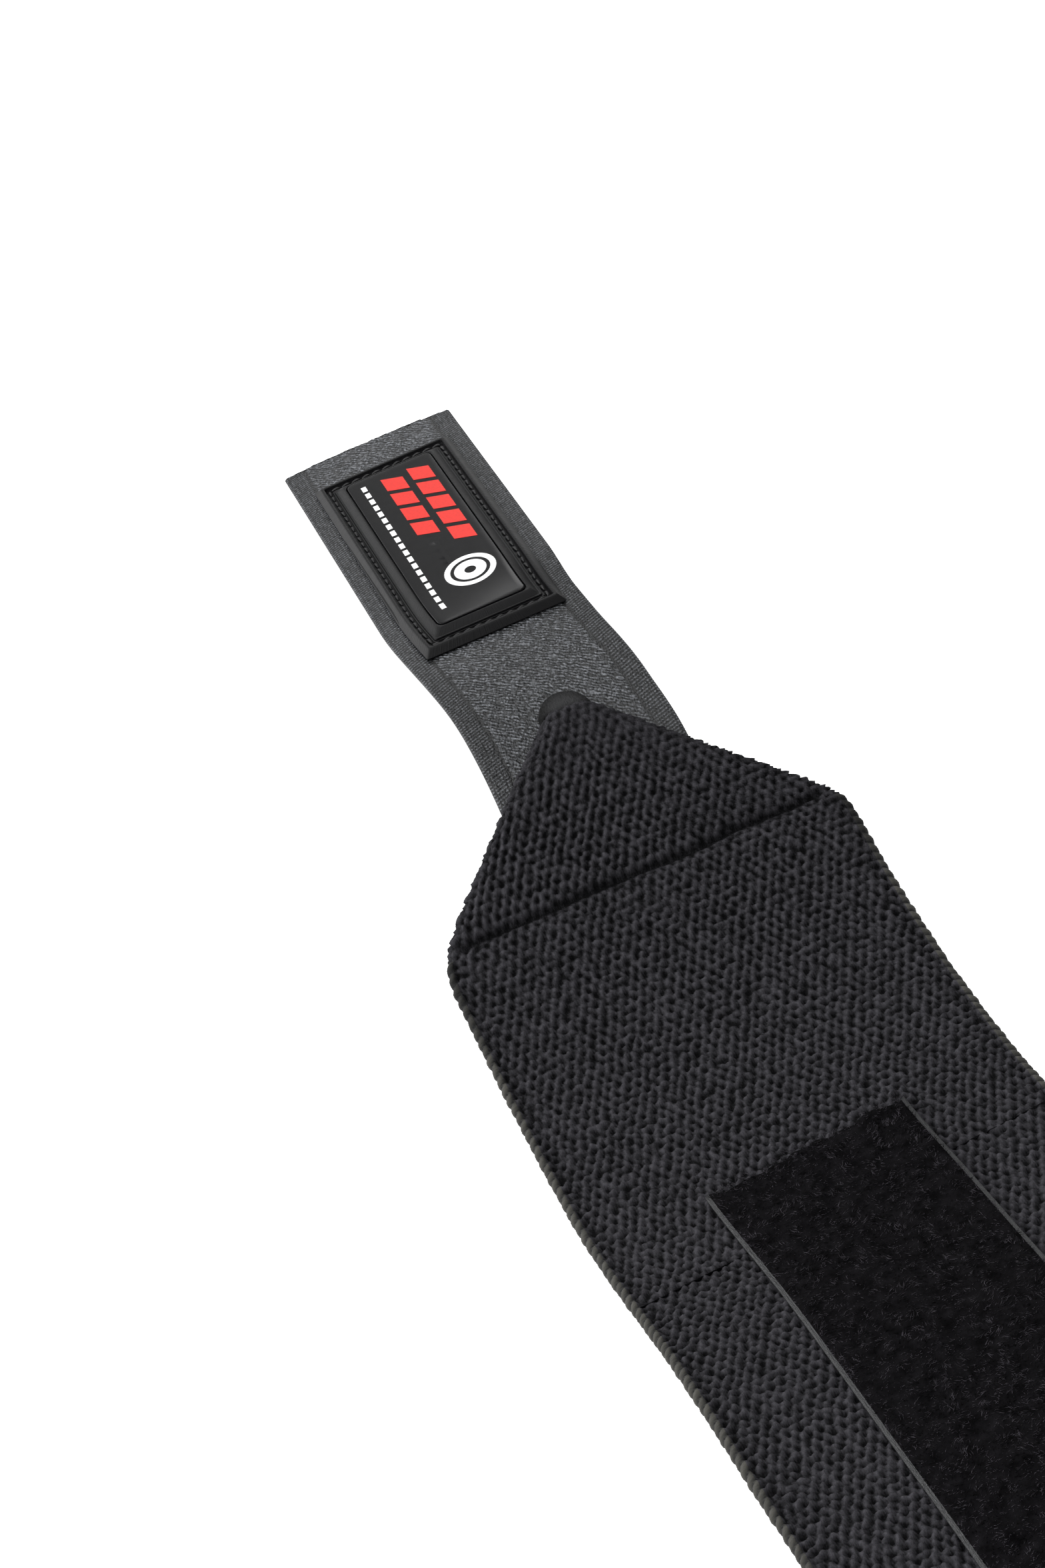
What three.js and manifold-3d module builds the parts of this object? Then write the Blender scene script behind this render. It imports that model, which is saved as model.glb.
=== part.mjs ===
// A weightlifting wrist wrap, lying with its fastening side up.
// A wide knitted elastic ends in a folded point, and a grey hook tab with a moulded badge is sewn
// under that point. A loop strip runs along the elastic, and a thumb loop ends it.
//
// Every piece is first shaped flat, as a maker cuts it: "along" runs from the tab's free end,
// "across" from the centre line, and "up" from the elastic's top face. The lay then bends it.
// Millimetres, +Z up, standing on z = 0 under the middle of its own box.
import * as THREE from "three";
import { mergeVertices } from "three/addons/utils/BufferGeometryUtils.js";
import Module from "manifold-3d";

const wasm = await Module();
wasm.setup();

// Sizes of the elastic
const bandWidth = 80;
const bandThickness = 2.2;
const bandLength = 400; // from the sharp point to the plain far end
const pointLength = 42; // from the sharp point to the corners of the full width
const pointBlunt = 4.2; // how far the elastic stops short of the sharp point
const cornerRadius = 16; // rounding of the corners of the full width
const bandEdge = 0.7; // rounding of the elastic's long edges
const foldBulge = 0.5; // how far a fold stands out past the edge
const foldRoot = 2.4; // width of the bend that joins a corner flap to the face
const seamSetback = 1; // the seam lies this far ahead of the corners
const seamDip = 0.9; // depth of the furrow that the seam pulls in
const seamReach = 1.7; // half width of that furrow
const pointPuff = 0.8; // how far the sewn point swells above the seam

// Sizes of the tab
const tapeWidth = 38;
const tapeThickness = 1.6; // woven base with its hooks
const tapeReach = 108; // from the free end to the elastic's sharp point
const tapeSelvedge = 4.5;
const selvedgeDrop = 0.15; // the woven edge lies this much lower than the middle
const tapeRootInset = 3; // the sewn end stops this far before the seam

// Sizes of the felt tip under the point
const tipRadius = 5;
const tipRoot = 3.2; // straight part behind the rounded front
const tipRound = 0.6; // rounding of its edges

// Sizes of the badge
const badgeLength = 72.2;
const badgeWidth = 30.5;
const badgeSetback = 12.2; // from the tab's free end
const rimHeight = 1.5;
const rimWidth = 1.95;
const rimSlope = 1.3; // reach of the rim's sloped outer face
const grooveFloor = 0.6;
const grooveWidth = 1.2;
const bevelWidth = 2.1;
const badgeHeight = 2.2;
const panelLip = 0.3; // flat land between bevel and panel
const panelSink = 0.9; // depth of the seat that holds the panel
const panelThickness = 0.75;
const panelRound = 0.2;
const wallSlope = 0.2; // lean of the groove's walls
const rimFoot = 0.2; // upright foot of the rim
const badgeCorner = 0.8;
const panelCorner = 1.6;

// Sizes of the loop strip
const stripWidth = 38;
const stripSetback = 111; // from the sharp point to the strip's start
const stripEndInset = 18; // from the strip's end to the elastic's far end
const stripPile = 1.5;
const stripSelvedge = 0.9;
const stripBase = 0.5;

// Sizes of the thumb loop
const loopStrap = 10;
const loopThickness = 1.4;
const loopLength = 44;
const loopHeight = 20;
const loopRoot = 12;

const clearance = 0.3; // between neighbouring pieces
const wrapLength = tapeReach + bandLength;

// How the wrap lies: one row for each bend. "at" is a share of the wrap's length, the angles are
// degrees. Pitch points down, yaw turns to the side and roll tips the width.
// Rows marked "down" take a share of the slope that brings the far end to the surface.
const lay = [
  { at: 0, pitch: -6.5, yaw: -1, roll: -2 },
  { at: 0.125, pitch: -6.5, yaw: -1, roll: -2 },
  { at: 0.16, pitch: -2, yaw: 5.5, roll: -8 },
  { at: 0.185, pitch: 5.5, yaw: 7, roll: -10 },
  { at: 0.215, pitch: 15.5, yaw: 0, roll: -9.5 },
  { at: 0.245, pitch: 22.5, yaw: -6, roll: -4 },
  { at: 0.275, pitch: 24, yaw: -6, roll: 0 },
  { at: 0.315, pitch: 17.5, yaw: -2.5, roll: 0 },
  { at: 0.355, pitch: 8.5, yaw: -1.5, roll: 0 },
  { at: 0.405, pitch: -3, yaw: -0.5, roll: 0 },
  { at: 0.455, pitch: -11.5, yaw: 3, roll: -3 },
  { at: 0.51, pitch: -14.5, yaw: 1, roll: -5 },
  { at: 0.59, pitch: -12.5, yaw: 1.5, roll: -2 },
  { at: 0.69, pitch: -6.5, yaw: 0.5, roll: 1.5 },
  { at: 0.745, pitch: 4, yaw: 0, roll: 0 },
  { at: 0.8, down: 0.85, yaw: 0, roll: 0 },
  { at: 0.86, down: 0.85, yaw: 0, roll: 0 },
  { at: 0.92, pitch: 0, yaw: 0, roll: 0 },
  { at: 1, pitch: 0, yaw: 0, roll: 0 },
];
const layStep = 1; // spacing of the centre line's points
const bendStep = 7; // spacing of the pieces' cross sections
const pointStep = 3; // their spacing in the folded point

const elasticMaterial = new THREE.MeshStandardMaterial({ color: "#29282b", roughness: 0.95 });
const tapeMaterial = new THREE.MeshStandardMaterial({ color: "#55575c", roughness: 0.8 });
const feltMaterial = new THREE.MeshStandardMaterial({ color: "#2c2c2e", roughness: 0.9 });
const rubberMaterial = new THREE.MeshStandardMaterial({ color: "#242527", roughness: 0.55 });
const panelMaterial = new THREE.MeshStandardMaterial({ color: "#0d0d0f", roughness: 0.2 });
const pileMaterial = new THREE.MeshStandardMaterial({ color: "#151516", roughness: 1 });

const radians = THREE.MathUtils.degToRad;

// The value that turns a rising or falling function to zero, by halving the range.
function solve(f, low, high) {
  const rising = f(high) > f(low);
  for (let i = 0; i < 50; i++) {
    const middle = (low + high) / 2;
    if (f(middle) > 0 === rising) high = middle;
    else low = middle;
  }
  return (low + high) / 2;
}

// A smooth curve through rows that never swings past them, flat at both ends.
function smooth(at, values) {
  const step = at.slice(1).map((a, i) => a - at[i]);
  const rise = step.map((h, i) => (values[i + 1] - values[i]) / h);
  const slope = values.map((_, i) => {
    if (i === 0 || i === values.length - 1 || rise[i - 1] * rise[i] <= 0) return 0;
    const before = 2 * step[i] + step[i - 1];
    const after = step[i] + 2 * step[i - 1];
    return (before + after) / (before / rise[i - 1] + after / rise[i]);
  });
  return (x) => {
    let i = at.findIndex((a) => a > x) - 1;
    if (x <= at[0]) return values[0];
    if (i < 0) return values[values.length - 1];
    const t = (x - at[i]) / step[i];
    const u = 1 - t;
    return (
      values[i] * u * u * (1 + 2 * t) +
      values[i + 1] * t * t * (1 + 2 * u) +
      step[i] * (slope[i] * t * u * u - slope[i + 1] * t * t * u)
    );
  };
}

// The centre line: places and directions every layStep along the wrap, for one run-down slope.
function centreLine(downSlope) {
  const at = lay.map((row) => row.at * wrapLength);
  const pitch = smooth(at, lay.map((row) => radians(row.pitch ?? row.down * downSlope)));
  const yaw = smooth(at, lay.map((row) => radians(row.yaw)));
  const roll = smooth(at, lay.map((row) => radians(row.roll)));
  const up = new THREE.Vector3(0, 0, 1);
  const line = [];
  for (let i = 0; i * layStep <= wrapLength + loopLength + layStep; i++) {
    const s = i * layStep;
    const p = pitch(s);
    const y = yaw(s);
    const ahead = new THREE.Vector3(
      Math.cos(p) * Math.cos(y),
      Math.cos(p) * Math.sin(y),
      -Math.sin(p),
    );
    const level = up.clone().cross(ahead).normalize();
    const over = ahead.clone().cross(level);
    const side = level.multiplyScalar(Math.cos(roll(s))).addScaledVector(over, Math.sin(roll(s)));
    const normal = ahead.clone().cross(side);
    const last = line[line.length - 1];
    const place = last
      ? last.place.clone().addScaledVector(last.ahead.clone().add(ahead), layStep / 2)
      : new THREE.Vector3();
    line.push({ place, ahead, side, normal });
  }
  return line;
}

// How far the far end lies above the lowest point of the valley.
function endHeight(line) {
  const heights = line.map((point) => point.place.z);
  const valley = Math.min(...heights.slice(0, Math.round((wrapLength * 0.6) / layStep)));
  return heights[heights.length - 1] - valley;
}

const line = centreLine(solve((slope) => endHeight(centreLine(slope)), 1, 60));

// Bends a flat point (along, across, up) onto the lay.
function place([along, across, up]) {
  const i = Math.min(Math.max(Math.floor(along / layStep), 0), line.length - 2);
  const share = along / layStep - i;
  const at = (name) => line[i][name].clone().lerp(line[i + 1][name], share);
  return at("place").addScaledVector(at("side"), across).addScaledVector(at("normal"), up);
}

// A closed geometry, its shared corners merged and its faces turned outwards.
function closed(geometry) {
  geometry.deleteAttribute("normal");
  geometry.deleteAttribute("uv");
  const merged = mergeVertices(geometry, 1e-4);
  const position = merged.attributes.position;
  const index = merged.index.array;
  const corner = (k) => new THREE.Vector3().fromBufferAttribute(position, index[k]);
  let volume = 0;
  for (let k = 0; k < index.length; k += 3)
    volume += corner(k).dot(corner(k + 1).cross(corner(k + 2)));
  if (volume < 0)
    for (let k = 0; k < index.length; k += 3)
      [index[k + 1], index[k + 2]] = [index[k + 2], index[k + 1]];
  return merged;
}

// A solid through rings of flat points, bent onto the lay. All rings have as many points, and the
// first and last are closed by faces drawn in the plane of the two named axes.
function loft(rings, capAxes) {
  const count = rings[0].length;
  const points = rings.flat().map((p) => place(p));
  const faces = [];
  for (let r = 0; r + 1 < rings.length; r++)
    for (let k = 0; k < count; k++) {
      const a = r * count + k;
      const b = r * count + ((k + 1) % count);
      faces.push([a, b, a + count], [b, b + count, a + count]);
    }
  for (const [r, reverse] of [[0, true], [rings.length - 1, false]]) {
    const outline = rings[r].map((p) => new THREE.Vector2(p[capAxes[0]], p[capAxes[1]]));
    const clockwise = THREE.ShapeUtils.isClockWise(outline);
    for (const [a, b, c] of THREE.ShapeUtils.triangulateShape(outline, [])) {
      const face = [a, b, c].map((k) => r * count + k);
      faces.push(reverse !== clockwise ? face.reverse() : face);
    }
  }
  return closed(geometryOf(points, faces));
}

function geometryOf(points, faces) {
  const geometry = new THREE.BufferGeometry();
  geometry.setAttribute(
    "position",
    new THREE.Float32BufferAttribute(points.flatMap((p) => p.toArray()), 3),
  );
  geometry.setIndex(faces.flat());
  return geometry;
}

const acrossAndUp = [1, 2];
const alongAndAcross = [0, 1];

// Cross sections from one place to another, no further apart than the step, with named extras.
function stations(from, to, extras = [], step = bendStep) {
  const steps = Math.ceil((to - from) / step);
  const even = Array.from({ length: steps + 1 }, (_, i) => from + ((to - from) * i) / steps);
  const kept = even.filter((s) => extras.every((e) => Math.abs(s - e) > step / 4));
  return [...kept, ...extras, from, to]
    .filter((s, i, all) => s >= from && s <= to && all.indexOf(s) === i)
    .sort((a, b) => a - b);
}

// Joins closed geometries into one.
function join(...geometries) {
  const solids = geometries.map(
    (g) =>
      new wasm.Manifold(
        new wasm.Mesh({
          numProp: 3,
          vertProperties: g.attributes.position.array,
          triVerts: new Uint32Array(g.index.array),
        }),
      ),
  );
  const mesh = solids.reduce((sum, solid) => sum.add(solid)).getMesh();
  const geometry = new THREE.BufferGeometry();
  geometry.setAttribute("position", new THREE.BufferAttribute(mesh.vertProperties, 3));
  geometry.setIndex(new THREE.BufferAttribute(mesh.triVerts, 1));
  return geometry;
}

// Levels and places that several pieces share
const seamAt = tapeReach + pointLength - seamSetback;
const flapTop = -bandThickness - clearance;
const flapBottom = flapTop - bandThickness;
const tapeTop = flapBottom - clearance;
const tapeMiddle = badgeSetback + badgeLength / 2;
const flankAngle = Math.atan(bandWidth / 2 / pointLength);
const arcEnd = tapeReach + pointLength + cornerRadius * Math.tan(flankAngle / 2);

// Half the elastic's width: straight flanks from the blunt point, round corners, then parallel.
function bandHalf(along) {
  const half = bandWidth / 2;
  const toArc = arcEnd - along;
  if (toArc <= 0) return half;
  const arc = half - cornerRadius + Math.sqrt(Math.max(cornerRadius ** 2 - toArc ** 2, 0));
  const onFlank = toArc >= cornerRadius * Math.sin(flankAngle);
  return onFlank ? (half * (along - tapeReach)) / pointLength : arc;
}

// The elastic's top face: the point swells a little, and the seam pulls a furrow across it.
function bandTop(along, across) {
  const half = bandHalf(along);
  const share = (along - tapeReach) / (seamAt - tapeReach);
  const swell = share < 1 ? Math.sin(Math.PI * share) * (1 - (across / half) ** 2) : 0;
  const inside = Math.abs(across) < half - bandEdge ? 1 : 0;
  const furrow = inside * Math.exp(-(((along - seamAt) / seamReach) ** 2));
  return pointPuff * swell - seamDip * furrow;
}

const flapStart = tapeReach + tipRadius + tipRoot + clearance;
const faceStart = tapeReach + pointBlunt;

// The elastic's cross sections: close together in the point and beside the seam.
const bandRows = stations(faceStart, wrapLength, [
  faceStart + bandEdge,
  flapStart,
  ...stations(flapStart + pointStep, seamAt - 3 * seamReach, [], pointStep),
  ...[-2, -1, 0, 1, 2].map((k) => seamAt + k * seamReach),
  tapeReach + pointLength,
  arcEnd,
]);

// The face layer of the elastic, one closed sheet from the point to the far end.
function bandFace() {
  const columns = 8;
  const rings = bandRows.map((s) => {
    const half = Math.max(bandHalf(s), bandHalf(faceStart)) - (s === faceStart ? bandEdge : 0);
    const flat = half - bandEdge;
    const across = Array.from({ length: columns + 1 }, (_, i) => flat * (1 - (2 * i) / columns));
    return [
      ...across.map((y) => [s, y, bandTop(s, y)]),
      [s, -half, -bandThickness / 2],
      ...across.map((y) => [s, -y, -bandThickness]),
      [s, half, -bandThickness / 2],
    ];
  });
  return loft(rings, acrossAndUp);
}

// A corner folded back under the point, joined to the face by its bend. Side is 1 or -1.
function cornerFlap(side) {
  const columns = 4;
  const bend = -bandThickness / 2;
  const rings = bandRows.filter((s) => s >= flapStart && s <= seamAt).map((s) => {
    const half = bandHalf(s);
    const root = half - foldRoot;
    const slit = clearance / 2;
    const across = Array.from({ length: columns + 1 }, (_, i) => slit + ((root - slit) * i) / columns);
    return [
      ...across.map((y) => [y, flapBottom]),
      [half - bandEdge, flapBottom],
      [half + foldBulge, (flapBottom + bend) / 2],
      [half - bandEdge, bend],
      [root, bend],
      ...across.toReversed().map((y) => [y, flapTop]),
    ].map(([y, h]) => [s, side * y, h]);
  });
  return loft(rings, acrossAndUp);
}

function elasticBand() {
  return join(bandFace(), cornerFlap(1), cornerFlap(-1));
}

// The hook tape, from its cut end to the stitching under the point.
function hookTab() {
  const half = tapeWidth / 2;
  const bottom = tapeTop - tapeThickness;
  const edge = tapeTop - selvedgeDrop;
  const rings = stations(0, seamAt - tapeRootInset).map((s) =>
    [
      [half, edge],
      [half - tapeSelvedge + selvedgeDrop, edge],
      [half - tapeSelvedge, tapeTop],
      [0, tapeTop],
      [-half + tapeSelvedge, tapeTop],
      [-half + tapeSelvedge - selvedgeDrop, edge],
      [-half, edge],
      [-half, bottom],
      [0, bottom],
      [half, bottom],
    ].map(([y, h]) => [s, y, h]),
  );
  return loft(rings, acrossAndUp);
}

// The felt tip between the tape and the face, with a round front at the sharp point.
function pointTip() {
  const arcSteps = 12;
  const centre = tapeReach + tipRadius;
  const outline = Array.from({ length: arcSteps + 1 }, (_, i) => {
    const turn = Math.PI * (0.5 + i / arcSteps);
    return [centre + tipRadius * Math.cos(turn), tipRadius * Math.sin(turn)];
  });
  outline.push([centre + tipRoot, -tipRadius], [centre + tipRoot, tipRadius]);
  const height = flapTop - flapBottom;
  const layers = [
    { inset: tipRound, up: flapBottom },
    { inset: 0, up: flapBottom + height / 3 },
    { inset: 0, up: flapTop - height / 3 },
    { inset: tipRound, up: flapTop },
  ];
  const shrink = ([s, y], inset) => [
    centre + (s - centre) * (1 - inset / tipRadius),
    y * (1 - inset / tipRadius),
  ];
  return loft(
    layers.map(({ inset, up }) => outline.map((p) => [...shrink(p, inset), up])),
    alongAndAcross,
  );
}

// A rectangle with round corners in the badge's plane, its long sides stepped so that they bend.
function badgeRing(inset, radius, up) {
  const halfLength = badgeLength / 2 - inset;
  const halfWidth = badgeWidth / 2 - inset;
  const cornerSteps = 3;
  const sideSteps = 8;
  const corners = [[1, 1], [-1, 1], [-1, -1], [1, -1]];
  const ring = [];
  corners.forEach(([x, y], quarter) => {
    const from = [x * (halfLength - radius), y * (halfWidth - radius)];
    for (let i = 0; i <= cornerSteps; i++) {
      const turn = (Math.PI / 2) * (quarter + i / cornerSteps);
      const s = from[0] + radius * Math.cos(turn);
      ring.push([tapeMiddle + s, from[1] + radius * Math.sin(turn), up]);
    }
    if (quarter % 2 === 0) {
      const reach = halfLength - radius;
      for (let i = 1; i < sideSteps; i++)
        ring.push([tapeMiddle + x * reach * (1 - (2 * i) / sideSteps), y * halfWidth, up]);
    }
  });
  return ring;
}

const badgeFoot = tapeTop + clearance;
const bevelInset = rimWidth + grooveWidth;
const seatInset = bevelInset + bevelWidth + panelLip;

// The moulded rubber badge: outer rim, stitch groove, bevelled block and the seat of the panel.
function badge() {
  const rings = [
    { inset: 0, up: 0, radius: badgeCorner },
    { inset: 0, up: rimFoot, radius: badgeCorner },
    { inset: rimSlope, up: rimHeight, radius: badgeCorner },
    { inset: rimWidth - wallSlope, up: rimHeight, radius: badgeCorner },
    { inset: rimWidth, up: grooveFloor, radius: badgeCorner },
    { inset: bevelInset, up: grooveFloor, radius: badgeCorner },
    { inset: bevelInset + bevelWidth, up: badgeHeight, radius: badgeCorner },
    { inset: seatInset, up: badgeHeight, radius: panelCorner },
    { inset: seatInset, up: badgeHeight - panelSink, radius: panelCorner },
  ];
  return loft(
    rings.map(({ inset, up, radius }) => badgeRing(inset, radius, badgeFoot + up)),
    alongAndAcross,
  );
}

// The glossy printed panel in the badge's seat.
function badgePanel() {
  const bottom = badgeFoot + badgeHeight - panelSink + clearance;
  const inset = seatInset + clearance;
  const rings = [
    { inset, up: bottom },
    { inset, up: bottom + panelThickness - panelRound },
    { inset: inset + panelRound, up: bottom + panelThickness },
  ];
  return loft(
    rings.map((r) => badgeRing(r.inset, panelCorner - clearance, r.up)),
    alongAndAcross,
  );
}

// The loop strip: a thin selvedge on each side of the raised pile.
function loopStrip() {
  const from = tapeReach + stripSetback;
  const to = wrapLength - stripEndInset;
  const half = stripWidth / 2;
  const pile = half - stripSelvedge;
  const rings = stations(from, to).map((s) =>
    [
      [half, clearance],
      [half, clearance + stripBase],
      [pile, clearance + stripBase],
      [pile, clearance + stripPile],
      [0, clearance + stripPile],
      [-pile, clearance + stripPile],
      [-pile, clearance + stripBase],
      [-half, clearance + stripBase],
      [-half, clearance],
      [0, clearance],
    ].map(([y, h]) => [s, y, h]),
  );
  return loft(rings, acrossAndUp);
}

// One point of the thumb loop's middle line, from its sewn end at turn 0 round to it at 2 pi.
// A drop shape, whose lower side is let down until it rests on the surface.
function dropPoint(turn, rise) {
  const length = loopLength - loopThickness / 2;
  const widest = Math.sin((2 * Math.PI) / 3) * Math.sin(Math.PI / 3) ** 2;
  const x = (length * (1 - Math.cos(turn))) / 2;
  const y = (Math.sin(turn) * Math.sin(turn / 2) ** 2) / widest;
  return new THREE.Vector2(x, (-y * (loopHeight - loopThickness)) / 2 + (rise * x) / length);
}

// The thumb loop, a flat strap sewn on the far end with both legs together.
function thumbLoop() {
  const turns = 28;
  const firstTurn = 3;
  const sewnMiddle = clearance + loopThickness;
  const floor = -bandThickness + loopThickness / 2;
  const turnOf = (i) => (2 * Math.PI * i) / turns;
  const lowest = (rise) =>
    Math.min(...Array.from({ length: turns }, (_, i) => dropPoint(turnOf(i), rise).y));
  const rise = solve((r) => sewnMiddle + lowest(r) - floor, 0, loopHeight);
  const origin = new THREE.Vector2(wrapLength, sewnMiddle);
  const offset = (i, out) => {
    const ahead = dropPoint(turnOf(i) + 0.01, rise).sub(dropPoint(turnOf(i) - 0.01, rise));
    const normal = new THREE.Vector2(ahead.y, -ahead.x).normalize();
    return dropPoint(turnOf(i), rise).addScaledVector(normal, out).add(origin);
  };
  const outer = [new THREE.Vector2(wrapLength - loopRoot, clearance)];
  outer.push(new THREE.Vector2(wrapLength, clearance));
  for (let i = firstTurn; i <= turns - firstTurn; i++) outer.push(offset(i, loopThickness / 2));
  outer.push(new THREE.Vector2(wrapLength, clearance + 2 * loopThickness));
  outer.push(new THREE.Vector2(wrapLength - loopRoot, clearance + 2 * loopThickness));
  const inner = [];
  for (let i = firstTurn; i <= turns - firstTurn; i++) inner.push(offset(i, -loopThickness / 2));
  const shape = new THREE.Shape(outer);
  shape.holes.push(new THREE.Path(inner));
  const geometry = new THREE.ExtrudeGeometry(shape, {
    depth: loopStrap,
    steps: 1,
    bevelEnabled: false,
  });
  const position = geometry.attributes.position;
  for (let i = 0; i < position.count; i++) {
    const across = position.getZ(i) - loopStrap / 2;
    const bent = place([position.getX(i), across, position.getY(i)]);
    position.setXYZ(i, bent.x, bent.y, bent.z);
  }
  return closed(geometry);
}

const wrap = new THREE.Group();
const pieces = [
  ["elastic_band", elasticBand, elasticMaterial],
  ["point_tip", pointTip, feltMaterial],
  ["hook_tab", hookTab, tapeMaterial],
  ["badge", badge, rubberMaterial],
  ["badge_panel", badgePanel, panelMaterial],
  ["loop_strip", loopStrip, pileMaterial],
  ["thumb_loop", thumbLoop, elasticMaterial],
];
for (const [name, make, material] of pieces) {
  const mesh = new THREE.Mesh(make(), material);
  mesh.name = name;
  wrap.add(mesh);
}

// The origin lies on the surface, under the middle of the wrap's box.
const box = new THREE.Box3().setFromObject(wrap);
const middle = box.getCenter(new THREE.Vector3());
wrap.position.set(-middle.x, -middle.y, -box.min.z);

export default wrap;
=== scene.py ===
"""The looks of a lifting wrist wrap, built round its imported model.

Every piece is shaped flat, in millimetres: "along" runs from the tab's free end, "across" from the
middle line and "up" from the elastic's top face. The lay then bends it to the way the wrap lies, as
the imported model's own pieces were bent, and turns it into metres.
"""
import math

import bpy
import numpy as np
from mathutils import Matrix, Vector
from mathutils.geometry import tessellate_polygon


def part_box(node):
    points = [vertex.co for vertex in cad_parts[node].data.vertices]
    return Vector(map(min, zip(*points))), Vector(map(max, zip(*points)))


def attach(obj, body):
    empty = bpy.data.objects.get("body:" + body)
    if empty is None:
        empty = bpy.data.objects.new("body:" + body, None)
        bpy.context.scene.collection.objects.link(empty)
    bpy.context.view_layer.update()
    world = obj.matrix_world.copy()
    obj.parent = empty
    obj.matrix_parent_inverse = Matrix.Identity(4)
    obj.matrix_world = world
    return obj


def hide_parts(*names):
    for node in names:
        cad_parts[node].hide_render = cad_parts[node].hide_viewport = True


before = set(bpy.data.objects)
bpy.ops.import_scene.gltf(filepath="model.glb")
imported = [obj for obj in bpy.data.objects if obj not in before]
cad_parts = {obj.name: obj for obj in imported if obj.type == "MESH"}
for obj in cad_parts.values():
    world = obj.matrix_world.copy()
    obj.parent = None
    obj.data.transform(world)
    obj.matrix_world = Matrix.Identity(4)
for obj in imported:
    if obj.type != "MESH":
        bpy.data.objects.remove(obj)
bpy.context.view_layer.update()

bl_info = {
    "name": "Wrist wrap",
    "version": (1, 0, 0),
    "blender": (4, 5, 0),
    "location": "View3D > Sidebar > Wrap",
    "description": "Builds a knitted wrist wrap with its hook tab, badge and loop strip",
    "category": "Object",
}

MM = 0.001
BODY = "root"


def linear(hex_colour):
    """An sRGB hex colour as a linear red, green and blue."""
    channels = [int(hex_colour[i : i + 2], 16) / 255 for i in (1, 3, 5)]
    return tuple(c / 12.92 if c <= 0.04045 else ((c + 0.055) / 1.055) ** 2.4 for c in channels)


def length(name, description, millimetres):
    """A length property, in metres, from a size in millimetres."""
    return bpy.props.FloatProperty(
        name=name, description=description, default=millimetres * MM, min=0.0, precision=5,
        unit="LENGTH", subtype="DISTANCE",
    )


def colour(name, description, hex_colour):
    return bpy.props.FloatVectorProperty(
        name=name, description=description, default=linear(hex_colour), size=3, min=0.0, max=1.0,
        subtype="COLOR",
    )


class ElasticSizes(bpy.types.PropertyGroup):
    """The wide knitted elastic."""

    width: length("Width", "Width of the elastic", 80)
    thickness: length("Thickness", "Thickness of one layer", 2.2)
    reach: length("Reach", "From the sharp point to the far end", 400)
    point: length("Point", "From the sharp point to the full width", 42)
    blunt: length("Blunt", "How far the knit stops short of the sharp point", 4.2)
    corner: length("Corner radius", "Rounding of the corners of the full width", 16)
    seam_setback: length("Seam setback", "The seam lies this far ahead of the corners", 1)
    seam_dip: length("Seam dip", "Depth of the furrow at the seam", 1.7)
    seam_reach: length("Seam reach", "Half width of the furrow", 0.75)
    puff: length("Puff", "How far the point swells above the seam", 0.8)
    course: length("Course", "Spacing of the rows of holes in the knit", 1.79)
    wale: length("Wale", "Spacing of the holes across the knit", 1.93)
    ridge: length("Ridge", "Spacing of the selvedge's ridges", 2.1)


class TabSizes(bpy.types.PropertyGroup):
    """The hook tape and the felt tip."""

    width: length("Width", "Width of the tape", 38)
    thickness: length("Thickness", "Woven base with its hooks", 1.6)
    reach: length("Reach", "From the free end to the elastic's sharp point", 108)
    selvedge: length("Selvedge", "Width of the ribbed edge", 4.5)
    root: length("Root inset", "The sewn end stops this far before the seam", 3)
    cell: length("Cell", "Spacing of the weave's rows", 0.96)
    pick: length("Pick", "Spacing of the bumps in a row", 0.62)
    rib: length("Rib", "Spacing of the ribs along the edges", 0.72)
    tip_radius: length("Tip radius", "Radius of the felt tip", 5.4)
    tip_root: length("Tip root", "Straight part of the felt tip", 3.2)


class BadgeSizes(bpy.types.PropertyGroup):
    """The moulded badge and its panel."""

    reach: length("Length", "Length of the badge", 72.2)
    width: length("Width", "Width of the badge", 30.5)
    setback: length("Setback", "From the tab's free end", 12.2)
    height: length("Height", "Height of the bevelled block", 2.2)
    rim_height: length("Rim height", "Height of the outer rim", 1.5)
    rim_width: length("Rim width", "Width of the outer rim", 1.95)
    rim_slope: length("Rim slope", "Reach of the rim's sloped outer face", 1.3)
    groove: length("Groove", "Width of the stitch groove", 1.2)
    groove_floor: length("Groove floor", "Height of the groove's floor", 0.6)
    bevel: length("Bevel", "Width of the block's bevel", 2.1)
    lip: length("Lip", "Land between bevel and panel", 0.3)
    sink: length("Sink", "Depth of the panel's seat", 0.9)
    panel: length("Panel", "Thickness of the panel", 0.75)
    stitch: length("Stitch", "Length of one stitch with its gap", 2.3)


class StripSizes(bpy.types.PropertyGroup):
    """The loop strip and the thumb loop."""

    width: length("Width", "Width of the loop strip", 38)
    setback: length("Setback", "From the sharp point to the strip's start", 111)
    end_inset: length("End inset", "From the strip's end to the far end", 18)
    pile: length("Pile", "Height of the pile", 1.5)
    selvedge: length("Selvedge", "Width of the bare edge", 1)
    base: length("Base", "Thickness of the bare edge", 0.5)
    strap: length("Strap", "Width of the thumb loop's strap", 10)
    strap_thickness: length("Strap thickness", "Thickness of the strap", 1.4)
    loop_length: length("Loop length", "Length of the thumb loop", 44)
    loop_height: length("Loop height", "Height of the thumb loop", 20)
    loop_root: length("Loop root", "Sewn stretch of the thumb loop", 12)


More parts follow.
